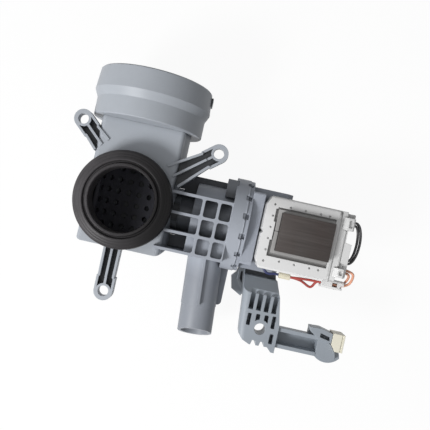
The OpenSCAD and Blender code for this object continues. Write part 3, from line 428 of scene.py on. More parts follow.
@dataclass(frozen=True)
class Rubber:
    """Moulded rubber: soft gloss, turning marks round an axis, painted edge highlight and painted shade.

    Attributes:
        name: Name of the material.
        colour: Linear colour.
        across: The two axes across the rings' own axis.
        centre: Place of that axis along them.
        pitch: Distance between two turning marks.
        side_shade: Axis, start and end of painted shade that deepens along it, and the tone at its end.
    """

    name: str
    colour: Colour
    across: tuple[Axis, Axis] = (Axis.X, Axis.Y)
    centre: Flat = (0.0, 0.0)
    pitch: float = 0.9 * MM
    side_shade: tuple[Axis, float, float, float] | None = None

    def material(self) -> bpy.types.Material:
        """Makes the material."""
        graph = Graph(self.name)
        spans = [graph.math("SUBTRACT", graph.part(axis), place)
                 for axis, place in zip(self.across, self.centre)]
        radius = graph.reach(*spans)
        uneven = graph.math("ADD", radius, graph.math("MULTIPLY", graph.noise(35, 2), 0.4 * MM))
        rings = graph.math("ADD", graph.math("MULTIPLY", graph.waves(uneven, self.pitch), 0.6),
                           graph.math("MULTIPLY", graph.waves(uneven, self.pitch * 2.7), 0.4))
        film = graph.noise(90, 4, rough=0.65)
        tone = graph.blend(graph.span(film, 0, 1, 0.38, 0.72), shade(self.colour, 0.88),
                           shade(self.colour, 1.15))
        tone = graph.blend(graph.span(rings, 0, 0.5, 0.3, 1), tone, shade(self.colour, 1.35))
        tone = graph.blend(graph.span(rings, 0.6, 0, -1, -0.5), tone, shade(self.colour, 0.6))
        normal, edge = graph.edges(0.4 * MM)
        # Painted highlight along the edges.
        tone = graph.blend(graph.math("MULTIPLY", edge, 0.4), tone, shade(self.colour, 1.8))
        # Painted shade in recesses, from ambient occlusion.
        tone = graph.blend(graph.span(graph.corners(8 * MM), 1, 0, 0.2, 0.8), tone, shade(self.colour, 0.12))
        # Painted shade that deepens along one axis, away from the lamp's side.
        if self.side_shade is not None:
            axis, start, end, level = self.side_shade
            tone = graph.blend(graph.span(graph.part(axis), 0, 1, start, end), tone,
                               shade(self.colour, level))
        gloss = graph.span(film, 0.36, 0.48, 0.3, 0.7)
        relief = graph.bump(graph.span(rings, 0, 1, -1, 1), 0.4, 0.08 * MM, normal)
        relief = graph.bump(graph.noise(2200, 1), 0.2, 0.03 * MM, relief)
        graph.shader.inputs["Specular IOR Level"].default_value = 0.14
        return graph.finish(tone, gloss, relief)


@dataclass(frozen=True)
class LaminatedSteel:
    """Edges of punched steel sheets: dark, with die nicks that run across the stack.

    Attributes:
        name: Name of the material.
        colour: Linear colour of the bare edge.
        stain: Linear colour of the oiled patches.
        pitch: Thickness of a sheet.
        ends: First and last place of the stack along X.
        painted_falloff: Brightness of the last sheets against the first, as painted shade.
    """

    name: str
    colour: Colour
    stain: Colour
    pitch: float = 0.5 * MM
    ends: Flat = (108.2 * MM, 144.2 * MM)
    painted_falloff: float = 0.6

    def material(self) -> bpy.types.Material:
        """Makes the material."""
        graph = Graph(self.name)
        nicks = graph.noise(700, 4, (0.05, 1, 1), 0.6)
        bands = graph.noise(150, 3, (0.12, 1, 1))
        patches = graph.noise(45, 3, (1.4, 0.7, 1))
        sheets = graph.waves(graph.part(Axis.X), self.pitch)
        tone = graph.blend(graph.span(patches, 0, 0.8, 0.35, 0.68), shade(self.colour, 1),
                           shade(self.stain, 1))
        tone = graph.blend(graph.span(bands, 0, 0.5, 0.45, 0.75), tone, shade(self.colour, 1.3))
        tone = graph.blend(graph.span(nicks, 0, 0.45, 0.52, 0.7), tone, shade(self.colour, 1.7))
        tone = graph.blend(graph.span(nicks, 0.4, 0, 0.3, 0.46), tone, shade(self.colour, 0.55))
        tone = graph.blend(graph.span(sheets, 0.25, 0, -1, -0.2), tone, shade(self.colour, 0.5))
        # Painted shade: the stack darkens towards its last sheets along X.
        tone = graph.blend(1.0, tone, graph.span(graph.part(Axis.X), 1, self.painted_falloff, *self.ends), "MULTIPLY")
        gloss = graph.span(nicks, 0.62, 0.38, 0.35, 0.65)
        relief = graph.bump(graph.span(sheets, 0, 1, -1, 1), 0.3, 0.04 * MM)
        relief = graph.bump(nicks, 0.3, 0.05 * MM, relief)
        graph.shader.inputs["Metallic"].default_value = 0.55
        return graph.finish(tone, gloss, relief)


@dataclass(frozen=True)
class DrawnMetal:
    """Ground, stamped or sintered metal with fine marks along or round one axis.

    Attributes:
        name: Name of the material.
        colour: Linear colour.
        tarnish: Linear colour of its dull patches.
        roughness: Mean roughness.
        marks: Factor on the marks' scale along each axis.
        pores: Share of small dark pores.
    """

    name: str
    colour: Colour
    tarnish: Colour
    roughness: float = 0.32
    marks: Point = (1, 0.05, 0.05)
    pores: float = 0.0

    def material(self) -> bpy.types.Material:
        """Makes the material."""
        graph = Graph(self.name)
        lines = graph.noise(2400, 3, self.marks)
        patches = graph.noise(120, 4, rough=0.6)
        tone = graph.blend(graph.span(patches, 0, 0.7, 0.42, 0.7), shade(self.colour, 1),
                           shade(self.tarnish, 1))
        tone = graph.blend(graph.span(lines, 0, 0.4, 0.45, 0.75), tone, shade(self.colour, 1.2))
        pits = graph.noise(3200, 1)
        tone = graph.blend(graph.span(pits, 0, self.pores, 0.5, 0.62), tone, shade(self.tarnish, 0.3))
        normal, edge = graph.edges(0.15 * MM)
        tone = graph.blend(graph.math("MULTIPLY", edge, 0.5), tone, shade(self.colour, 1.3))
        gloss = graph.span(patches, self.roughness - 0.08, self.roughness + 0.14, 0.35, 0.7)
        relief = graph.bump(lines, 0.12, 0.03 * MM, normal)
        graph.shader.inputs["Metallic"].default_value = 1.0
        return graph.finish(tone, gloss, relief)


@dataclass(frozen=True)
class WoundWire:
    """Enamelled wire in close turns round an upright leg.

    Attributes:
        name: Name of the material.
        colour: Linear colour of the enamel.
        pitch: Thickness of the wire.
    """

    name: str
    colour: Colour
    pitch: float = 0.42 * MM

    def material(self) -> bpy.types.Material:
        """Makes the material."""
        graph = Graph(self.name)
        height = graph.math("ADD", graph.part(Axis.Z), graph.math("MULTIPLY", graph.noise(60, 2), 0.5 * MM))
        turns = graph.waves(height, self.pitch)
        patches = graph.noise(160, 3)
        tone = graph.blend(graph.span(patches, 0, 1, 0.35, 0.7), shade(self.colour, 0.8),
                           shade(self.colour, 1.25))
        tone = graph.blend(graph.span(turns, 0.8, 0, -1, -0.1), tone, shade(self.colour, 0.25))
        gloss = graph.span(patches, 0.22, 0.42, 0.3, 0.7)
        relief = graph.bump(graph.span(turns, 0, 1, -1, 1), 0.8, 0.15 * MM)
        graph.shader.inputs["Metallic"].default_value = 0.75
        graph.shader.inputs["Coat Weight"].default_value = 0.4
        return graph.finish(tone, gloss, relief)


@dataclass(frozen=True)
class WireInsulation:
    """Extruded insulation: soft gloss, faint draw lines and handling marks.

    Attributes:
        name: Name of the material.
        colour: Linear colour.
        roughness: Mean roughness.
    """

    name: str
    colour: Colour
    roughness: float = 0.36

    def material(self) -> bpy.types.Material:
        """Makes the material."""
        graph = Graph(self.name)
        marks = graph.noise(420, 4, rough=0.65)
        broad = graph.noise(110, 2)
        tone = graph.blend(graph.span(broad, 0, 1, 0.35, 0.65), shade(self.colour, 0.86),
                           shade(self.colour, 1.14))
        tone = graph.blend(graph.span(marks, 0, 0.5, 0.56, 0.75), tone, shade(self.colour, 0.6))
        gloss = graph.span(marks, self.roughness - 0.03, self.roughness + 0.08, 0.35, 0.7)
        relief = graph.bump(marks, 0.05, 0.03 * MM)
        graph.shader.inputs["Coat Weight"].default_value = 0.1
        graph.shader.inputs["Coat Roughness"].default_value = 0.3
        return graph.finish(tone, gloss, relief)


@dataclass(frozen=True)
class WovenSleeve:
    """Braided glass-fibre sleeve round an axis along X.

    Attributes:
        name: Name of the material.
        colour: Linear colour of the yarn.
        axis: Place of the sleeve's axis in Y and Z.
        pitch: Length of one crossing of the yarns.
        yarns: Number of yarns round the sleeve.
    """

    name: str
    colour: Colour
    axis: Flat
    pitch: float = 1.1 * MM
    yarns: int = 20

    def material(self) -> bpy.types.Material:
        """Makes the material."""
        graph = Graph(self.name)
        across = [graph.math("SUBTRACT", graph.part(axis), place)
                  for axis, place in zip((Axis.Y, Axis.Z), self.axis)]
        turn = graph.math("MULTIPLY", graph.math("ARCTAN2", *across), self.yarns / 2)
        along = graph.math("MULTIPLY", graph.part(Axis.X), 2 * math.pi / self.pitch)
        left = graph.math("SINE", graph.math("ADD", along, turn))
        right = graph.math("SINE", graph.math("SUBTRACT", along, turn))
        weave = graph.span(graph.math("MAXIMUM", left, right), 0, 1, -0.4, 1)
        fuzz = graph.noise(900, 3)
        tone = graph.blend(graph.span(fuzz, 0, 1, 0.3, 0.7), shade(self.colour, 0.9),
                           shade(self.colour, 1.08))
        tone = graph.blend(graph.span(weave, 0.5, 0), tone, shade(self.colour, 0.5))
        gloss = graph.span(fuzz, 0.5, 0.75, 0.3, 0.7)
        relief = graph.bump(weave, 0.7, 0.16 * MM)
        return graph.finish(tone, gloss, relief)


class Finishes:
    """Makes each finish once and hands the same material to every piece that has it."""

    def __init__(self) -> None:
        """Starts with no material made."""
        self.made: dict[str, bpy.types.Material] = {}

    def of(self, finish: Finish) -> bpy.types.Material:
        """Gives a finish's material.

        Args:
            finish: Finish to look up.

        Returns:
            Its material, made on first use.
        """
        if finish.name not in self.made:
            self.made[finish.name] = finish.material()
        return self.made[finish.name]


FINISHES = Finishes()

# Painted shade in recesses and on low floors that face up.
HOUSING_GREY = MouldedPlastic("housing_grey_plastic", from_screen(162, 167, 174), corner_shade=0.12,
                              closed=(0.2, 0.6), floor_shade=(-15.5 * MM, -100 * MM, -90 * MM, 0.12))
# Painted shade in the deep cells, on their low floors and towards the outlet along Y.
CASING_GREY = MouldedPlastic("casing_grey_plastic", from_screen(156, 161, 170), corner_shade=0.2,
                             depth=16 * MM, closed=(0.05, 0.36), shade_band=(Axis.Y, -28 * MM, -42 * MM, 0.72),
                             floor_shade=(-15.6 * MM, -12 * MM, 10 * MM, 0.2))
# Light painted shade in recesses.
PLATE_GREY = MouldedPlastic("motor_plate_plastic", from_screen(152, 157, 167), roughness=0.5, corner_shade=0.8)
# Painted shade in the grooves and on the low shelf under the motor plate.
BRACKET_GREY = MouldedPlastic("bracket_grey_plastic", from_screen(146, 153, 161), roughness=0.42,
                              corner_shade=0.85, depth=5 * MM, closed=(0.15, 0.6),
                              floor_shade=(-27 * MM, -52 * MM, -47 * MM, 0.3))
# Light painted shade in recesses, and painted shade towards the far strip along Y.
COVER_WHITE = MouldedPlastic("cover_white_plastic", from_screen(222, 222, 222), 0.4, 0.02, rub_and_glint=1.04,
                             corner_shade=0.85, shade_band=(Axis.Y, 12 * MM, 25 * MM, 0.78))
BOBBIN_WHITE = MouldedPlastic("bobbin_plastic", from_screen(168, 167, 166), 0.42, 0.03, rub_and_glint=1.08)
CONNECTOR_IVORY = MouldedPlastic("connector_ivory_plastic", from_screen(229, 225, 208), 0.4, 0.02,
                                 rub_and_glint=1.05, corner_shade=0.85)
# Grey plastic with painted shade in recesses, deepening towards -X.
FILTER_GREY = MouldedPlastic("filter_grey_painted_shade", from_screen(150, 150, 160), 0.5, 0.08, rub_and_glint=1.2,
                             corner_shade=0.6, shine=0.05, shade_band=(Axis.X, 18 * MM, 0 * MM, 0.3))
CAP_GREY = MouldedPlastic("cap_grey_plastic", from_screen(143, 148, 157))
IMPELLER_PLASTIC = MouldedPlastic("impeller_plastic", from_screen(196, 198, 194), 0.4)
DOG_PLASTIC = MouldedPlastic("dog_plastic", from_screen(58, 58, 62), 0.5)
# Painted shade deepening towards +X; the side towards the lamp stays lighter.
SEAL_RUBBER = Rubber("seal_black_rubber", from_screen(72, 70, 72), side_shade=(Axis.X, -28 * MM, 26 * MM, 0.12))
RING_RUBBER = Rubber("ring_black_rubber", from_screen(38, 36, 36), (Axis.Y, Axis.Z), (0, -40.6 * MM))
CAP_RUBBER = Rubber("cap_ring_rubber", from_screen(38, 36, 36), (Axis.X, Axis.Z), (1.2 * MM, -33 * MM))
CORE_STEEL = LaminatedSteel("core_sheet_edges", from_screen(82, 77, 75), from_screen(76, 66, 63))
SHAFT_STEEL = DrawnMetal("ground_shaft_steel", from_screen(206, 208, 212), from_screen(170, 172, 178), 0.24)
FERRITE = DrawnMetal("magnet_ferrite", from_screen(64, 64, 68), from_screen(48, 48, 50), 0.55, (1, 1, 1), 0.5)
BRONZE = DrawnMetal("sintered_bronze", from_screen(190, 150, 92), from_screen(140, 104, 62), 0.48,
                    (1, 1, 1), 0.6)
BRASS = DrawnMetal("stamped_brass", from_screen(214, 186, 120), from_screen(170, 140, 84), 0.3, (0.05, 1, 1))
COPPER = WoundWire("enamelled_copper", from_screen(190, 104, 58))
RED_WIRE = WireInsulation("red_insulation", from_screen(168, 66, 58))
ORANGE_WIRE = WireInsulation("orange_insulation", from_screen(212, 152, 124))
BLACK_WIRE = WireInsulation("black_insulation", from_screen(30, 30, 33), 0.46)
BLUE_WIRE = WireInsulation("blue_insulation", from_screen(34, 42, 86))


def new_mesh(name: str, points: list[Point], faces: list[tuple[int, ...]]) -> bpy.types.Mesh:
    """Makes a smooth-shaded mesh.

    Args:
        name: Name of the mesh.
        points: Its points.
        faces: Point numbers of each face.

    Returns:
        The mesh.
    """
    mesh = bpy.data.meshes.new(name)
    mesh.from_pydata(points, [], faces)
    mesh.validate()
    mesh.shade_smooth()
    return mesh


def rounded(outline: list[Flat], radius: float, steps: int = 5) -> list[Flat]:
    """Rounds every corner of a closed outline.

    Args:
        outline: Corners in order.
        radius: Length that a rounding takes from each side, at most.
        steps: Parts of each rounding.

    Returns:
        The rounded outline.
    """
    result: list[Flat] = []
    for i, corner in enumerate(outline):
        here = Vector(corner)
        before, after = Vector(outline[i - 1]) - here, Vector(outline[(i + 1) % len(outline)]) - here
        start = here + before.normalized() * min(radius, before.length * 0.48)
        end = here + after.normalized() * min(radius, after.length * 0.48)
        for k in range(steps + 1):
            t = k / steps
            result.append(tuple(start * (1 - t) ** 2 + here * 2 * t * (1 - t) + end * t * t))
    return result


def lathe(name: str, outline: list[Flat], segments: int) -> bpy.types.Mesh:
    """Turns a closed outline round the Z axis.

    Args:
        name: Name of the mesh.
        outline: Radius and height of each point.
        segments: Parts of the full turn.

    Returns:
        The turned mesh.
    """
    count = len(outline)
    points = [(r * math.cos(a), r * math.sin(a), z)
              for a in (2 * math.pi * i / segments for i in range(segments)) for r, z in outline]
    faces = [(i * count + k, j * count + k, j * count + (k + 1) % count, i * count + (k + 1) % count)
             for i in range(segments) for j in [(i + 1) % segments] for k in range(count)]
    return new_mesh(name, points, faces)


def smooth_path(points: list[Point], steps: int) -> list[Vector]:
    """Draws a smooth curve through points.

    Args:
        points: Points that the curve passes.
        steps: Parts between two of them.

    Returns:
        The points of the curve.
    """
    known = [Vector(point) for point in points]
    result: list[Vector] = []
    for i in range(len(known) - 1):
        a, b = known[max(i - 1, 0)], known[i]
        c, d = known[i + 1], known[min(i + 2, len(known) - 1)]
        for k in range(steps):
            t = k / steps
            result.append((2 * b + (c - a) * t + (2 * a - 5 * b + 4 * c - d) * t * t
                           + (3 * b - a - 3 * c + d) * t ** 3) / 2)
    return [*result, known[-1]]


def tube(name: str, paths: list[list[Vector]], radius: float, sides: int = 20) -> bpy.types.Mesh:
    """Makes round wires with slightly rounded ends along paths.

    Args:
        name: Name of the mesh.
        paths: One path for each wire.
        radius: Radius of a wire.
        sides: Sides of its section.

    Returns:
        The mesh of all the wires.
    """
    points: list[Point] = []
    faces: list[tuple[int, ...]] = []
    for path in paths:
        first = len(points)
        up = Vector((0, 0, 1))
        rings: list[tuple[Vector, Vector, float]] = []
        for i, place in enumerate(path):
            along = (path[min(i + 1, len(path) - 1)] - path[max(i - 1, 0)]).normalized()
            rings.append((place, along, radius))
        tip, tail = rings[0], rings[-1]
        rings.insert(0, (tip[0] - tip[1] * radius * 0.12, tip[1], radius * 0.82))
        rings.append((tail[0] + tail[1] * radius * 0.12, tail[1], radius * 0.82))
        for place, along, size in rings:
            side = along.cross(up).normalized()
            up = side.cross(along).normalized()
            points += [tuple(place + size * (math.cos(a) * side + math.sin(a) * up))
                       for a in (2 * math.pi * k / sides for k in range(sides))]
        for i in range(len(rings) - 1):
            a = first + i * sides
            faces += [(a + k, a + sides + k, a + sides + (k + 1) % sides, a + (k + 1) % sides)
                      for k in range(sides)]
        faces.append(tuple(first + k for k in range(sides)))
        faces.append(tuple(len(points) - 1 - k for k in range(sides)))
    return new_mesh(name, points, faces)


def loft(name: str, lengths: list[list[list[Point]]]) -> bpy.types.Mesh:
    """Makes closed strips, each from a row of equal sections.

    Args:
        name: Name of the mesh.
        lengths: Strips, each a list of sections, each a closed loop of points.

    Returns:
        The mesh.
    """
    points: list[Point] = []
    faces: list[tuple[int, ...]] = []
    for rows in lengths:
        first, count = len(points), len(rows[0])
        for row in rows:
            points += row
        for i in range(len(rows) - 1):
            a, b = first + i * count, first + (i + 1) * count
            faces += [(a + j, a + (j + 1) % count, b + (j + 1) % count, b + j) for j in range(count)]
        last = first + (len(rows) - 1) * count
        faces.append(tuple(first + j for j in reversed(range(count))))
        faces.append(tuple(last + j for j in range(count)))
    return new_mesh(name, points, faces)


@dataclass
class SubAssembly:
    """Group of pieces on one body.

    Attributes:
        body: Body that the pieces ride on.
    """

    body: Body = Body.HOUSING

    def trim(self, mesh: bpy.types.Mesh, finish: Finish, slot: str) -> bpy.types.Object:
        """Adds a piece that moves with the body.

        Args:
            mesh: Mesh in the part's own frame, whose name the piece takes.
            finish: Finish of the piece.
            slot: Material slot; not used.

        Returns:
            The new object.
        """
        piece = bpy.data.objects.new(mesh.name, mesh)
        bpy.context.scene.collection.objects.link(piece)
        piece.data.materials.append(FINISHES.of(finish))
        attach(piece, self.body.value)
        LOG.info("%s rides on %s", piece.name, self.body.value)
        return piece

    def add(self, mesh: bpy.types.Mesh, finish: Finish, slot: str, *nodes: str) -> bpy.types.Object:
        """Adds a piece that stands for solids of the frame.

        Args:
            mesh: Mesh in the part's own frame, whose name the piece takes.
            finish: Finish of the piece.
            slot: Material slot; not used.
            nodes: Solids that the piece stands for.

        Returns:
            The new object.
        """
        piece = self.trim(mesh, finish, slot)
        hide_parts(*nodes)
        LOG.info("%s stands for %s", piece.name, ", ".join(nodes))
        return piece

    def dress(self, finish: Finish, *nodes: str) -> None:
        """Gives solids of the frame their finish.

        Args:
            finish: Finish to give.
            nodes: Names of the solids.
        """
        for name in nodes:
            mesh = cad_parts[name].data
            mesh.materials.clear()
            mesh.materials.append(FINISHES.of(finish))
            LOG.info("%s has %s", name, finish.name)


@dataclass
class InletSeal(SubAssembly):
    """Rubber seal on the inlet neck, turned from a profile with a ringed, sloped flank.

    Attributes:
        bore: Radius of the opening.
        outer: Radius of the skirt.
        top: Height of the face above the neck's rim.
        neck_h: Height of the neck.
        neck_in: Inner radius of the sleeve in the neck.
        neck_out: Outer radius of the pocket for the neck.
        seat: Gap between the rim and the seal.
        lip: Width of the lip round the opening.
        groove: Depth of the groove behind the lip.
        shoulder: Distance from the opening to the start of the flank.
        soft: Rounding of the profile's corners.
        segments: Parts of the full turn.
    """

    bore: float = 22.2 * MM
    outer: float = 34.0 * MM
    top: float = 4.4 * MM
    neck_h: float = 13.0 * MM
    neck_in: float = 24.4 * MM
    neck_out: float = 27.4 * MM
    seat: float = 0.2 * MM
    lip: float = 2.0 * MM
    groove: float = 1.6 * MM
    shoulder: float = 4.9 * MM
    soft: float = 0.22 * MM
    segments: int = 192

    def outline(self) -> list[Flat]:
        """Gives the profile as radius and height, from the sleeve's lower end round the face."""
        low, sleeve, pocket = -0.4 * self.neck_h, -0.7 * self.neck_h, -0.8 * self.neck_h
        rise, face = self.top - low, self.bore + self.shoulder
        slope, dip = self.outer - face, self.top - self.groove
        rings = [(0.0, 0.0), (0.05, 0.01), (0.22, 0.05), (0.29, 0.1), (0.46, 0.14), (0.53, 0.19),
                 (0.7, 0.23), (0.77, 0.28), (0.9, 0.34), (0.97, 0.48), (1.0, 0.7), (1.0, 1.0)]
        return [
            (self.bore, sleeve), (self.bore, self.top - 1.2 * MM),
            (self.bore + 0.5 * MM, self.top), (self.bore + self.lip, self.top),
            (self.bore + self.lip + 0.8 * MM, dip), (self.bore + self.lip + 1.6 * MM, dip),
            (self.bore + self.lip + 2.2 * MM, self.top - 0.1 * MM),
            *((face + u * slope, self.top - v * rise) for u, v in rings),
            (self.outer - 0.8 * MM, low - 1.5 * MM), (self.outer - 3.2 * MM, low - 1.7 * MM),
            (self.neck_out + 2 * MM, pocket), (self.neck_out, pocket),
            (self.neck_out, self.seat), (self.neck_in, self.seat), (self.neck_in, sleeve)]

    def build(self) -> None:
        """Builds the seal in place of its solid."""
        mesh = lathe("inlet_seal_moulding", rounded(self.outline(), self.soft, 3), self.segments)
        self.add(mesh, SEAL_RUBBER, "seal_black", "inlet_seal")


@dataclass
class JointBead(SubAssembly):
    """Thin weld bead over the joint of casing and motor plate, between the snap slots.

    Attributes:
        place: Place of the joint along the rotor's axis.
        radius: Radius of the flange.
        axis_z: Height of the rotor's axis.
        slots: Angle between two snap slots, in degrees.
        clear: Half of the angle that a slot takes, in degrees.
        half: Half of the bead's width.
        rise: Height of the bead over the flange.
        root: Depth of the bead under the flange's surface.
        lengths: Number of lengths of bead.
        steps: Parts of each length.
    """

    place: float = 84.3 * MM
    radius: float = 34.5 * MM
    axis_z: float = -40.6 * MM
    slots: float = 24.0
    clear: float = 3.8
    half: float = 0.5 * MM
    rise: float = 0.1 * MM
    root: float = 0.3 * MM
    lengths: int = 7
    steps: int = 8

    def length(self, middle: float) -> list[list[Point]]:
        """Lays out one length of bead between two slots.

        Args:
            middle: Angle of its middle from the top, in degrees.

        Returns:
            Sections of the length.
        """
        section = [(-self.half, -self.root), (-self.half, 0.0), (-self.half * 0.5, self.rise),
                   (self.half * 0.5, self.rise), (self.half, 0.0), (self.half, -self.root)]
        start, end = middle - 0.5 * self.slots + self.clear, middle + 0.5 * self.slots - self.clear
        rows = []
        for i in range(self.steps + 1):
            a = math.radians(start + (end - start) * i / self.steps)
            rows.append([(self.place + x, (self.radius + r) * math.sin(a),
                          self.axis_z + (self.radius + r) * math.cos(a)) for x, r in section])
        return rows

    def build(self) -> None:
        """Builds one length of bead between each two slots."""
        middles = [(k - self.lengths // 2) * self.slots for k in range(self.lengths)]
        mesh = loft("joint_bead", [self.length(middle) for middle in middles])
        self.trim(mesh, CASING_GREY, "housing_grey")


@dataclass
class CoverSeam(SubAssembly):
    """Soft strips at the coil cover's end step and at its seam with the end piece.

    Attributes:
        heights: Heights of the cover, of its end step and of the end piece.
        step_x: Place of the end step along X.
        step_ends: Where the strip on the end step starts and ends along Y.
        step_w: Width of that strip's slope.
        seam_x: Place of the seam along X.
        seam_ends: Where the strip on the seam starts and ends along Y.
        seam_w: Width of that strip's slope.
        lap: Width of a strip on the upper face.
        thick: Depth of a strip's edges under the surface.
        proud: Height of a strip over the surface.
        edge: Width of a strip's rounded edges.
        steps: Parts of each strip along its length.
    """

    heights: Point = (-1.95 * MM, -2.7 * MM, -3.3 * MM)
    step_x: float = 146.75 * MM
    step_ends: Flat = (-24.2 * MM, 24.2 * MM)
    step_w: float = 1.9 * MM
    seam_x: float = 152.1 * MM
    seam_ends: Flat = (-13.4 * MM, 13.9 * MM)
    seam_w: float = 1.75 * MM
    lap: float = 0.5 * MM
    thick: float = 0.1 * MM
    proud: float = 0.012 * MM
    edge: float = 0.04 * MM
    steps: int = 12

    def strip(self, place: float, ends: Flat, top: float, foot: float, width: float) -> list[list[Point]]:
        """Lays out one sloped strip.

        Args:
            place: Place of the step along X.
            ends: Where the strip starts and ends along Y.
            top: Height of the upper face.
            foot: Height of the lower face.
            width: Width of the slope.

        Returns:
            Sections of the strip.
        """
        section = [(-self.lap, top - self.thick), (-self.lap, top), (self.edge - self.lap, top + self.proud),
                   (0.0, top + self.proud), (width - self.edge, foot + self.proud), (width, foot),
                   (width, foot - self.thick)]
        return [[(place + x, ends[0] + (ends[1] - ends[0]) * i / self.steps, z) for x, z in section]
                for i in range(self.steps + 1)]

    def build(self) -> None:
        """Builds both strips as one piece."""
        cover, step, end = self.heights
        strips = [self.strip(self.step_x, self.step_ends, cover, step, self.step_w),
                  self.strip(self.seam_x, self.seam_ends, step, end, self.seam_w)]
        self.trim(loft("cover_seam_strips", strips), COVER_WHITE, "cover_white")


@dataclass
class StatorStack(SubAssembly):
    """Stator core as a stack of thin punched sheets, a little uneven.

    Attributes:
        start: Place of the first sheet along the rotor's axis.
        length: Length of the stack.
        sheets: Number of sheets.
        axis_z: Height of the rotor's axis.
        bore: Radius of the hole for the rotor can.
        top: Height of the yoke's top.
        yoke_low: Height of the yoke's underside.
        half_yoke: Half of the yoke's width.
        leg_in: Distance from the middle to a leg.
        pole_h: Half height of the poles.
        pole_y: Half width over the poles.
        slit: Half of the slit between the poles.
        coil_y: Distance of the yoke's middle from the rotor's axis.
        uneven: Largest shift of one sheet.
        gap: Half of the gap between two sheets.
    """

    start: float = 108.2 * MM
    length: float = 36.0 * MM
    sheets: int = 72
    axis_z: float = -40.6 * MM
    bore: float = 14.6 * MM
    top: float = 4.1 * MM
    yoke_low: float = -3.9 * MM
    half_yoke: float = 13.0 * MM
    leg_in: float = 5.0 * MM
    pole_h: float = 18.0 * MM
    pole_y: float = 22.0 * MM
    slit: float = 2.0 * MM
    coil_y: float = 1.9 * MM
    uneven: float = 0.05 * MM
    gap: float = 0.02 * MM

    def outline(self) -> list[Flat]:
        """Gives the outline of one sheet in Y and Z."""
        high, low = self.axis_z + self.pole_h, self.axis_z - self.pole_h
        reach = math.asin(self.slit / self.bore)
        arc = [(self.bore * math.sin(a), self.axis_z - self.bore * math.cos(a))
               for a in (reach + (math.pi - 2 * reach) * i / 20 for i in range(21))]
        sides = []
        for s in (1, -1):
            yoke, leg = self.coil_y + s * self.half_yoke, self.coil_y + s * self.leg_in
            sides.append([(yoke, self.top), (yoke, high), (s * self.pole_y, high), (s * self.pole_y, low),
                          (s * self.slit, low), *((s * y, z) for y, z in arc), (s * self.slit, high),
                          (leg, high), (leg, self.yoke_low)])
        return [*sides[0], *reversed(sides[1])]

    def build(self) -> None:
        """Builds the stack in place of the core's solid."""
        chance = random.Random(7)
        outline = self.outline()
        count, pitch = len(outline), self.length / self.sheets
        points: list[Point] = []
        faces: list[tuple[int, ...]] = []
        for i in range(self.sheets):
            dy, dz = (chance.uniform(-1, 0.4) * self.uneven for _ in range(2))
            first, x = len(points), self.start + i * pitch
            for place in (x + self.gap, x + pitch - self.gap):
                points += [(place, y + dy, z + dz) for y, z in outline]
            faces.append(tuple(first + k for k in reversed(range(count))))
            faces.append(tuple(first + count + k for k in range(count)))
            faces += [(first + k, first + (k + 1) % count, first + count + (k + 1) % count,
                       first + count + k) for k in range(count)]
        mesh = new_mesh("stator_sheets", points, faces)
        mesh.shade_flat()
        self.add(mesh, CORE_STEEL, "core_steel", "stator_core")


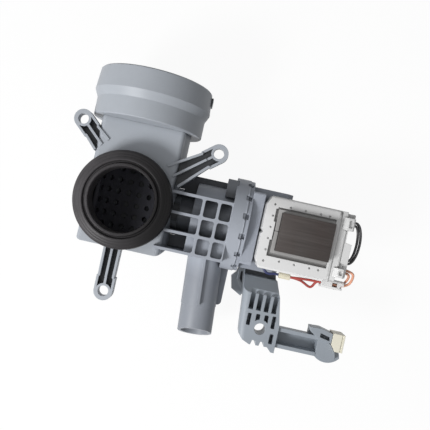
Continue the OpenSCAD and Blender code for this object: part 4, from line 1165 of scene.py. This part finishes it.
@dataclass
class Harness(SubAssembly):
    """Leads along the coil cover and the thermal fuse between them.

    Attributes:
        lead_r: Radius of a lead.
        fuse_x: Start of the fuse along the cover.
        fuse_len: Length of the fuse.
        fuse_r: Radius of the fuse's sleeve.
        run_y: Line of the leads beside the cover.
        run_z: Height of the leads beside the cover.
        hold_y: Line of the leads in the wire clip.
        clip_x: Start of the wire clip.
        cover_end: End of the cover under the terminal housing.
        end_x: Free end of the terminal housing.
        blade_z: Height of the terminal blades.
        low_y: Line of the lower terminal.
        high_y: Line of the upper terminal.
        middle_y: Line of the pocket between them.
        coil_y: End of the blue lead at the coil.
    """

    lead_r: float = 0.9 * MM
    fuse_x: float = 116.6 * MM
    fuse_len: float = 8.2 * MM
    fuse_r: float = 2.4 * MM
    run_y: float = -28.0 * MM
    run_z: float = -16.7 * MM
    hold_y: float = -26.4 * MM
    clip_x: float = 147.8 * MM
    cover_end: float = 152.2 * MM
    end_x: float = 158.9 * MM
    blade_z: float = -8.9 * MM
    low_y: float = -15.6 * MM
    high_y: float = 17.9 * MM
    middle_y: float = -8.7 * MM
    coil_y: float = -18.2 * MM

    def red_paths(self) -> list[list[Vector]]:
        """Gives the two red leads from the fuse into the clip."""
        x0, x1, clip = self.fuse_x + self.fuse_len + 0.15 * MM, self.clip_x + 4 * MM, self.clip_x
        y, hold, z, m = self.run_y, self.hold_y, self.run_z, MM
        upper = [(x0, y, z + 1.1 * m), (x0 + 9 * m, y + 0.9 * m, z + 1.6 * m),
                 (x1 - 8 * m, hold - 0.3 * m, z + 1.1 * m), (x1, hold, z + 1.1 * m)]
        lower = [(x0, y, z - 1.1 * m), (x0 + 8 * m, y - 0.9 * m, z - 1.4 * m),
                 (clip - 7.3 * m, y - 3.9 * m, z - 2 * m), (clip - 4 * m, hold - 1.3 * m, z - 1.3 * m),
                 (clip - 1 * m, hold, z - 1.1 * m), (x1, hold, z - 1.1 * m)]
        return [smooth_path(upper, 14), smooth_path(lower, 12)]

    def orange_paths(self) -> list[list[Vector]]:
        """Gives the two orange leads from the clip round to the lower terminal."""
        y, z, m = self.hold_y, self.run_z, MM
        paths = []
        for s in (-1, 1):
            y1 = self.low_y + s * m
            paths.append(smooth_path([
                (self.clip_x + 6 * m, y, z + s * 1.1 * m), (self.clip_x + 13.2 * m, y, z + s * 1.1 * m),
                (self.end_x + (6.4 + s * 1.2) * m, y + 3 * m, z + s * 1.4 * m),
                (self.end_x + (5.6 + s * 1.2) * m, y1 - 2 * m, self.blade_z + s * 0.6 * m),
                (self.end_x + 2.5 * m, y1, self.blade_z), (self.end_x - 1.8 * m, y1, self.blade_z)], 14))
        return paths

    def black_paths(self) -> list[list[Vector]]:
        """Gives the two black leads in half an oval behind the terminal housing."""
        paths = []
        for s in (-1, 1):
            beside = s * (self.lead_r + 0.15 * MM)
            y0, y1, out = self.high_y + beside, self.middle_y - beside, 5 * MM + beside
            loop = [Vector((self.end_x + 1.4 * MM + out * math.cos(a),
                            (y0 + y1) / 2 + (y0 - y1) / 2 * math.sin(a),
                            self.blade_z - 2 * MM * math.cos(a)))
                    for a in (math.pi / 2 - math.pi * i / 40 for i in range(41))]
            paths.append([Vector((self.end_x - 1.8 * MM, y0, self.blade_z)), *loop,
                          Vector((self.cover_end + 2.3 * MM, y1, self.blade_z))])
        return paths

    def blue_paths(self) -> list[list[Vector]]:
        """Gives the blue lead from the fuse through the cover's side."""
        x0, y, z, m = self.fuse_x - 0.15 * MM, self.run_y, self.run_z, MM
        return [smooth_path([(x0, y, z), (x0 - 3 * m, y, z), (x0 - 8 * m, y - 0.6 * m, z),
                             (x0 - 11.4 * m, y + 2.4 * m, z), (x0 - 12 * m, self.coil_y - 3 * m, z),
                             (x0 - 12 * m, self.coil_y, z)], 12)]

    def sleeve(self) -> bpy.types.Mesh:
        """Makes the fuse's sleeve, slightly waisted and open at its rolled ends."""
        half, r = self.fuse_len / 2, self.fuse_r
        outer = [(r * (0.965 + 0.035 * abs(u) ** 3), u * (half - 0.35 * MM)) for u in
                 (i / 10 for i in range(-10, 11))]
        outline = [(r - 0.3 * MM, -half), *outer, (r - 0.3 * MM, half), (r - 0.75 * MM, half),
                   (r - 0.9 * MM, half - 0.6 * MM), (0.05 * MM, half - 0.7 * MM),
                   (0.05 * MM, -half + 0.7 * MM), (r - 0.9 * MM, -half + 0.6 * MM), (r - 0.75 * MM, -half)]
        mesh = lathe("fuse_sleeve", rounded(outline, 0.15 * MM, 3), 48)
        for vertex in mesh.vertices:
            x, y, z = vertex.co
            vertex.co = (z + self.fuse_x + half, y + self.run_y, -x + self.run_z)
        return mesh

    def build(self) -> None:
        """Builds the leads and the fuse in place of their solids."""
        for name, paths, finish, slot in (
                ("red_leads", self.red_paths(), RED_WIRE, "lead_red"),
                ("orange_leads", self.orange_paths(), ORANGE_WIRE, "lead_orange"),
                ("black_leads", self.black_paths(), BLACK_WIRE, "lead_black"),
                ("blue_lead", self.blue_paths(), BLUE_WIRE, "lead_blue")):
            self.add(tube(f"{name}_wire", paths, self.lead_r), finish, slot, name)
        sleeve = WovenSleeve("fuse_woven_sleeve", from_screen(232, 225, 202), (self.run_y, self.run_z))
        self.add(self.sleeve(), sleeve, "fuse_ivory", "thermal_fuse")


@dataclass
class FilterHousing(SubAssembly):
    """Chamber, collar and casing of the pump."""

    def build(self) -> None:
        """Dresses the still mouldings of the pump end."""
        self.dress(HOUSING_GREY, "filter_housing", "filter_collar")
        self.dress(CASING_GREY, "volute_casing")
        self.dress(RING_RUBBER, "casing_seal")


@dataclass
class Motor(SubAssembly):
    """Motor plate, coils, cover and terminals."""

    def build(self) -> None:
        """Dresses the still parts of the motor."""
        self.dress(PLATE_GREY, "motor_mount")
        self.dress(COVER_WHITE, "coil_cover", "terminal_housing", "wire_clip")
        self.dress(BOBBIN_WHITE, "coil_bobbins")
        self.dress(COPPER, "coil_windings")
        self.dress(BRASS, "terminal_blades")
        self.dress(BRONZE, "front_bearing", "rear_bearing")


@dataclass
class Bracket(SubAssembly):
    """Harness bracket and the connector that it holds."""

    def build(self) -> None:
        """Dresses the bracket and the connector."""
        self.dress(BRACKET_GREY, "harness_bracket")
        self.dress(CONNECTOR_IVORY, "connector_housing")
        self.dress(BRASS, "connector_contacts")


@dataclass
class MovingParts(SubAssembly):
    """Filter, cap, rotor and impeller, each on its own body."""

    def build(self) -> None:
        """Dresses the parts that move and names the body of each."""
        for body, finish, node in (
                (Body.FILTER, FILTER_GREY, "filter_basket"), (Body.KNOB, CAP_GREY, "filter_cap"),
                (Body.KNOB, CAP_RUBBER, "filter_cap_seal"), (Body.ROTOR, SHAFT_STEEL, "rotor_shaft"),
                (Body.ROTOR, FERRITE, "rotor_magnet"), (Body.ROTOR, DOG_PLASTIC, "drive_dog"),
                (Body.IMPELLER, IMPELLER_PLASTIC, "impeller")):
            self.dress(finish, node)
            LOG.info("%s moves with %s", node, body.value)


@dataclass
class Lamp:
    """Soft square lamp.

    Attributes:
        name: Name of the lamp.
        way: Direction from the object to the lamp.
        distance: Distance to the object.
        size: Side of the square.
        power: Power in watts.
    """

    name: str
    way: Point
    distance: float
    size: float
    power: float

    def build(self, target: Vector) -> None:
        """Places the lamp.

        Args:
            target: Point that it looks at.
        """
        light = bpy.data.lights.new(self.name, "AREA")
        light.shape = "SQUARE"
        light.size = self.size
        light.energy = self.power
        lamp = bpy.data.objects.new(self.name, light)
        bpy.context.scene.collection.objects.link(lamp)
        way = Vector(self.way).normalized()
        lamp.location = target + way * self.distance
        lamp.rotation_euler = (-way).to_track_quat("-Z", "Y").to_euler()
        lamp.visible_camera = False
        LOG.info("lamp %s", self.name)


@dataclass
class Studio:
    """Pale floor, white surround, two lamps and the camera above the pump.

    Attributes:
        view_from: Place of the camera.
        roll: Turn of the camera about its upright axis, in degrees.
        lens: Focal length in millimetres on a sensor of 36 mm.
        glow: Share of the floor that shows as plain white to the camera.
        bounce: Brightness of the floor as a reflector.
        ambient: Strength of the surround as light, on its dim and on its bright side.
        bright_side: Direction of the surround's bright side.
        dim_from: Cosine of the angle to that side at which the surround is dimmest.
        floor_tones: Darkest and lightest tone of the floor.
        floor_half: Half of the floor's side.
        lamps: Lamps of the studio.
    """

    view_from: Point = (63.5 * MM, 3.5 * MM, 337.4 * MM)
    roll: float = 12.5
    lens: float = 41.86
    glow: float = 0.93
    bounce: float = 0.4
    ambient: tuple[float, float] = (0.08, 0.6)
    bright_side: Point = (-0.45, -0.45, 0.77)
    dim_from: float = -0.3
    floor_tones: Flat = (0.86, 0.9)
    floor_half: float = 3.0
    lamps: list[Lamp] = field(default_factory=lambda: [
        Lamp("key_lamp", (-0.54, -0.52, 0.66), 0.9, 0.26, 6.9),
        Lamp("fill_lamp", (-0.5, 0.3, 0.8), 1.1, 0.8, 0.8)])

    def seen(self, tree: bpy.types.NodeTree) -> bpy.types.NodeSocket:
        """Finds rays from the camera, from reflections and through clear pieces.

        Args:
            tree: Node tree to add the nodes to.

        Returns:
            One for such rays and zero for light.
        """
        path = tree.nodes.new("ShaderNodeLightPath")
        total = path.outputs["Is Camera Ray"]
        for name in ("Is Glossy Ray", "Is Transmission Ray"):
            node = tree.nodes.new("ShaderNodeMath")
            node.operation = "MAXIMUM"
            tree.links.new(total, node.inputs[0])
            tree.links.new(path.outputs[name], node.inputs[1])
            total = node.outputs[0]
        return total

    def camera(self) -> None:
        """Places the camera at the photograph's angle."""
        data = bpy.data.cameras.new("camera")
        data.sensor_width, data.lens = 36.0, self.lens
        data.clip_start, data.clip_end = 0.01, 20.0
        camera = bpy.data.objects.new("camera", data)
        bpy.context.scene.collection.objects.link(camera)
        camera.location = self.view_from
        camera.rotation_euler = (0, 0, math.radians(self.roll))
        bpy.context.scene.camera = camera
        LOG.info("camera")

    def floor(self) -> None:
        """Lays the pale floor under the pump."""
        z, half = CAD_BOX[0].z - 0.2 * MM, self.floor_half
        corners = [(-half, -half, z), (half, -half, z), (half, half, z), (-half, half, z)]
        mesh = new_mesh("floor", corners, [(0, 1, 2, 3)])
        floor = bpy.data.objects.new("floor", mesh)
        bpy.context.scene.collection.objects.link(floor)
        graph = Graph("pale_floor")
        speck = graph.noise(40, 3)
        dark, light = ((tone, tone, tone, 1) for tone in self.floor_tones)
        tone = graph.blend(graph.span(speck, 0, 1, 0.3, 0.7), dark, light)
        seen = self.seen(graph.tree)
        tone = graph.blend(graph.span(seen, 1, 0), tone, (self.bounce, self.bounce, self.bounce, 1))
        graph.finish(tone, graph.span(speck, 0.7, 0.8), graph.bump(speck, 0.02, 0.1 * MM))
        glow = graph.add("ShaderNodeEmission")
        mix = graph.add("ShaderNodeMixShader")
        graph.feed(mix.inputs[0], graph.math("MULTIPLY", seen, self.glow))
        graph.feed(mix.inputs[1], graph.shader.outputs["BSDF"])
        graph.feed(mix.inputs[2], glow.outputs["Emission"])
        output = next(node for node in graph.tree.nodes if node.type == "OUTPUT_MATERIAL")
        graph.feed(output.inputs["Surface"], mix.outputs["Shader"])
        mesh.materials.append(graph.material)
        LOG.info("floor")

    def surround(self) -> None:
        """Makes the surround white to the eye and soft as light."""
        world = bpy.data.worlds.new("surround")
        world.use_nodes = True
        tree = world.node_tree
        back = next(node for node in tree.nodes if node.type == "BACKGROUND")
        back.inputs["Color"].default_value = (1, 1, 1, 1)
        facing = tree.nodes.new("ShaderNodeVectorMath")
        facing.operation = "DOT_PRODUCT"
        facing.inputs[1].default_value = Vector(self.bright_side).normalized()
        tree.links.new(tree.nodes.new("ShaderNodeTexCoord").outputs["Generated"], facing.inputs[0])
        light = tree.nodes.new("ShaderNodeMapRange")
        light.inputs["From Min"].default_value = self.dim_from
        light.inputs["To Min"].default_value, light.inputs["To Max"].default_value = self.ambient
        tree.links.new(facing.outputs["Value"], light.inputs["Value"])
        strength = tree.nodes.new("ShaderNodeMapRange")
        strength.inputs["To Max"].default_value = 1.0
        tree.links.new(light.outputs["Result"], strength.inputs["To Min"])
        tree.links.new(self.seen(tree), strength.inputs["Value"])
        tree.links.new(strength.outputs["Result"], back.inputs["Strength"])
        bpy.context.scene.world = world
        LOG.info("surround")

    def build(self) -> None:
        """Sets up camera, floor, surround and lamps."""
        bpy.context.scene.view_settings.view_transform = "Standard"
        self.camera()
        self.floor()
        self.surround()
        for lamp in self.lamps:
            lamp.build((CAD_BOX[0] + CAD_BOX[1]) / 2)


def main() -> None:
    """Builds the studio and every sub-assembly."""
    logging.basicConfig(level=logging.INFO, format="%(message)s")
    Studio().build()
    for group in (FilterHousing(), InletSeal(), JointBead(), Motor(), CoverSeam(), StatorStack(), Harness(),
                  Bracket(), MovingParts()):
        group.build()


if __name__ == "__main__":
    main()
